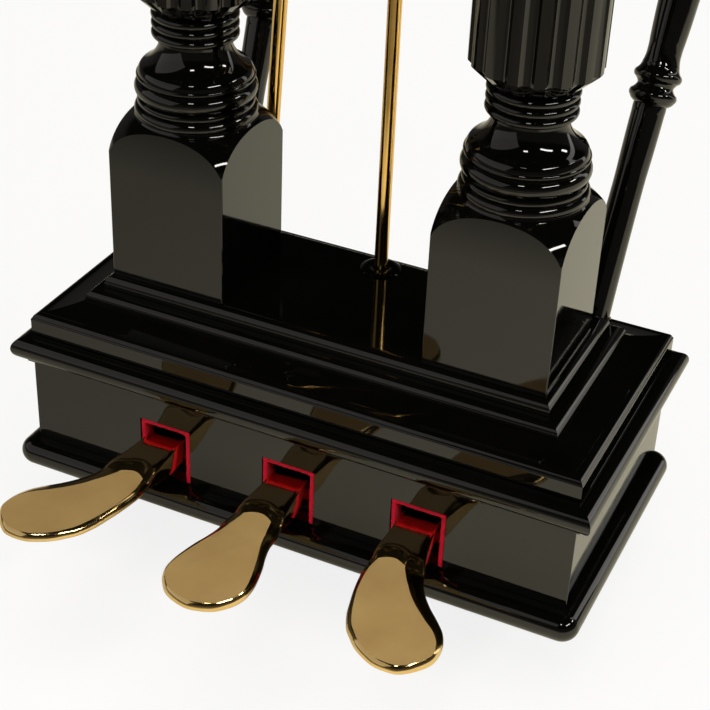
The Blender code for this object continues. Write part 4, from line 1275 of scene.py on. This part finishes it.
# Rosette, a turned and lacquered ring that hides the hole where the middle rod comes up through the
# platform. Its upper side is a soft half round.
ROSETTE_BORE = 0.0046
ROSETTE_FOOT = 0.0003
ROSETTE_LIP = 0.0008
ROSETTE_CREST = 0.72
ROSETTE_MOUTH = 0.5
ROSETTE_SMOOTH = 40.0

low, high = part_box('rod_rosette')
rosette_radius, rosette_tall = (high.x - low.x) / 2, high.z - low.z
rosette = turn_on_lathe('turned_rosette', bowed((
    (rosette_radius, 0.0), (rosette_radius, ROSETTE_FOOT),
    (ROSETTE_BORE + ROSETTE_LIP, rosette_tall * ROSETTE_CREST, 0.0009),
    (ROSETTE_BORE, rosette_tall * ROSETTE_MOUTH, 0.0001), (ROSETTE_BORE, 0.0)), 14), 96, ring=True)
set_down(rosette, ((low.x + high.x) / 2, (low.y + high.y) / 2, low.z))
lacquered(rosette, 'rod_rosette', ROSETTE_SMOOTH)

# Braces, two turned and lacquered struts that lean back from the lid to the keybed and hold the box
# against the push of the foot. Each has a double ring near both ends and a slight belly.
BRACE_FROM_END = 0.04755
BRACE_FOOT_IN = 0.0117
BRACE_BACK_ANGLE = 22.73
BRACE_OUT_ANGLE = 2.09
BRACE_END = 0.0102
SEAT_THICK = 0.0040
SEAT_RADIUS = 0.0112
SEAT_GAP = 0.0002
PLATE_THICK = 0.0050
# Radius and distance from the foot, and how far the stretch to that point bows out
BRACE_TURNING = (
    (0.0102, 0.0020), (0.0090, 0.0830, -0.0002), (0.0092, 0.0950, -0.00005), (0.0096, 0.1250, 0.0001),
    (0.0096, 0.1296, 0.0001), (0.0130, 0.1328, 0.0004), (0.0139, 0.1350, 0.0002), (0.0131, 0.1371, 0.0002),
    (0.0104, 0.1406, -0.0004), (0.0130, 0.1440, -0.0004), (0.0139, 0.1462, 0.0002),
    (0.0131, 0.1483, 0.0002), (0.0108, 0.1528, -0.0005), (0.0099, 0.1600, -0.0003),
    (0.0102, 0.1660, -0.0001), (0.0113, 0.1870, 0.0001),
)
BRACE_BELLY = 0.0122
BELLY_BOW = 0.0004

slope = -Vector((0.0, edge_top - top, -STEP_IN)).normalized()
lean_out, lean_back = (math.tan(math.radians(angle)) for angle in (BRACE_OUT_ANGLE, BRACE_BACK_ANGLE))
lower = bowed(BRACE_TURNING, 16)
brace_feet, brace_heads, brace_lines = {}, {}, {}
for word, side in (('left', -1), ('right', 1)):
    foot = Vector((side * (half_width - BRACE_FROM_END), half_depth - BRACE_FOOT_IN, (top + edge_top) / 2))
    reach = Vector((side * lean_out, lean_back, 1.0)) * -foot.z
    long = reach.length
    brace_feet[word], brace_heads[word], brace_lines[word] = foot, foot + reach, reach.normalized()
    upper = [Vector((point.x, long - point.y)) for point in reversed(lower)]
    belly = bowed((tuple(lower[-1]), (BRACE_BELLY, long / 2, BELLY_BOW), (*upper[0], BELLY_BOW)), 16)
    line = [(0.0, -BRACE_END), (BRACE_END, -BRACE_END), *lower, *belly[1:-1], *upper,
            (BRACE_END, long + BRACE_END), (0.0, long + BRACE_END)]
    brace = turn_on_lathe('turned_brace_' + word, line, 96)
    set_down(brace, foot, reach)
    seat_face = foot + slope * (SEAT_THICK + SEAT_GAP)
    cut_off(brace, (seat_face, -slope), ((0.0, 0.0, -PLATE_THICK - GAP), UP))
    lacquered(brace, 'brace_' + word)

# Brace seats, low lacquered collars shaped to the hollow of the cornice's back, that the braces stand on.
SEAT_FROM = -0.010
SEAT_TO = 0.030
SEAT_LIFT = 0.0001
SEAT_EASE = 0.0006

for word, foot in brace_feet.items():
    seat = turn_on_lathe('fitted_seat_' + word, (
        (0.0, SEAT_FROM), (SEAT_RADIUS, SEAT_FROM), (SEAT_RADIUS, SEAT_TO), (0.0, SEAT_TO)), 96)
    set_down(seat, foot, brace_lines[word])
    cut_off(seat, (foot + slope * SEAT_THICK, slope))
    carve(seat, [mitred_strip('under', [point + Vector((0.0, SEAT_LIFT)) for point in cornice_line], 2)])
    ease(seat, SEAT_EASE, 3, lambda edge: all(
        abs((vertex.co - foot).dot(slope) - SEAT_THICK) < NEAR for vertex in edge.verts))
    lacquered(seat, 'brace_seat_' + word)

# Brace plates, brass castings screwed up under the keybed, each with a short socket that its brace's
# upper end goes into. Four slotted screws hold each plate.
PLATE_HALF = 0.020
PLATE_CORNER = 0.0060
PLATE_EASE = 0.0006
SOCKET_WALL = 0.0030
SOCKET_DEEP = 0.0110
SOCKET_IN = 0.004
SOCKET_EASE = 0.0008
SOCKET_BIT = 0.060
SCREW_RADIUS = 0.0034
SCREW_IN = 0.0065
SCREW_TALL = 0.0014
SCREW_SLOT = 0.0008

for word, head in brace_heads.items():
    low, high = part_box('brace_plate_' + word)
    half_x = (high.x - low.x) / 2
    plate_low = Vector((head.x - half_x, head.y - PLATE_HALF, -PLATE_THICK))
    plate_high = Vector((head.x + half_x, head.y + PLATE_HALF, 0.0))
    plate = board('cast_plate_' + word, plate_low, plate_high)
    ease(plate, PLATE_CORNER, 8, upright)
    ease(plate, PLATE_EASE, 3, lambda edge: not upright(edge))
    along = brace_lines[word]
    under = head - along * (PLATE_THICK / along.z)
    bore = BRACE_END + SEAT_GAP
    outer = bore + SOCKET_WALL
    sleeve = turn_on_lathe('sleeve', bowed((
        (0.0, -SOCKET_DEEP), (outer - SOCKET_EASE, -SOCKET_DEEP),
        (outer, SOCKET_EASE - SOCKET_DEEP, 0.0003), (outer, SOCKET_IN), (0.0, SOCKET_IN)), 5), 72)
    set_down(sleeve, under, along)
    cut_off(sleeve, ((0.0, 0.0, -PLATE_THICK / 2), UP))
    carve(plate, [sleeve], 'UNION')
    bit = drill_bit(under, along, bore, SOCKET_BIT, 72)
    cut_off(bit, ((0.0, 0.0, -PLATE_THICK), UP))
    carve(plate, [bit])
    screws = []
    for x in (plate_low.x + SCREW_IN, plate_high.x - SCREW_IN):
        for y in (plate_low.y + SCREW_IN, plate_high.y - SCREW_IN):
            screw = turn_on_lathe('screw', bowed((
                (0.0, -SCREW_TALL), (SCREW_RADIUS, 0.0, 0.0005), (SCREW_RADIUS - PAST, PAST), (0.0, PAST),
            ), 6), 32)
            carve(screw, [board('slot', (-SCREW_RADIUS, -SCREW_SLOT / 2, -2 * SCREW_TALL),
                                (SCREW_RADIUS, SCREW_SLOT / 2, -SCREW_TALL / 2))])
            set_down(screw, (x, y, -PLATE_THICK))
            screws.append(screw)
    carve(plate, screws, 'UNION')
    fitted(plate, 'brace_plate_' + word)
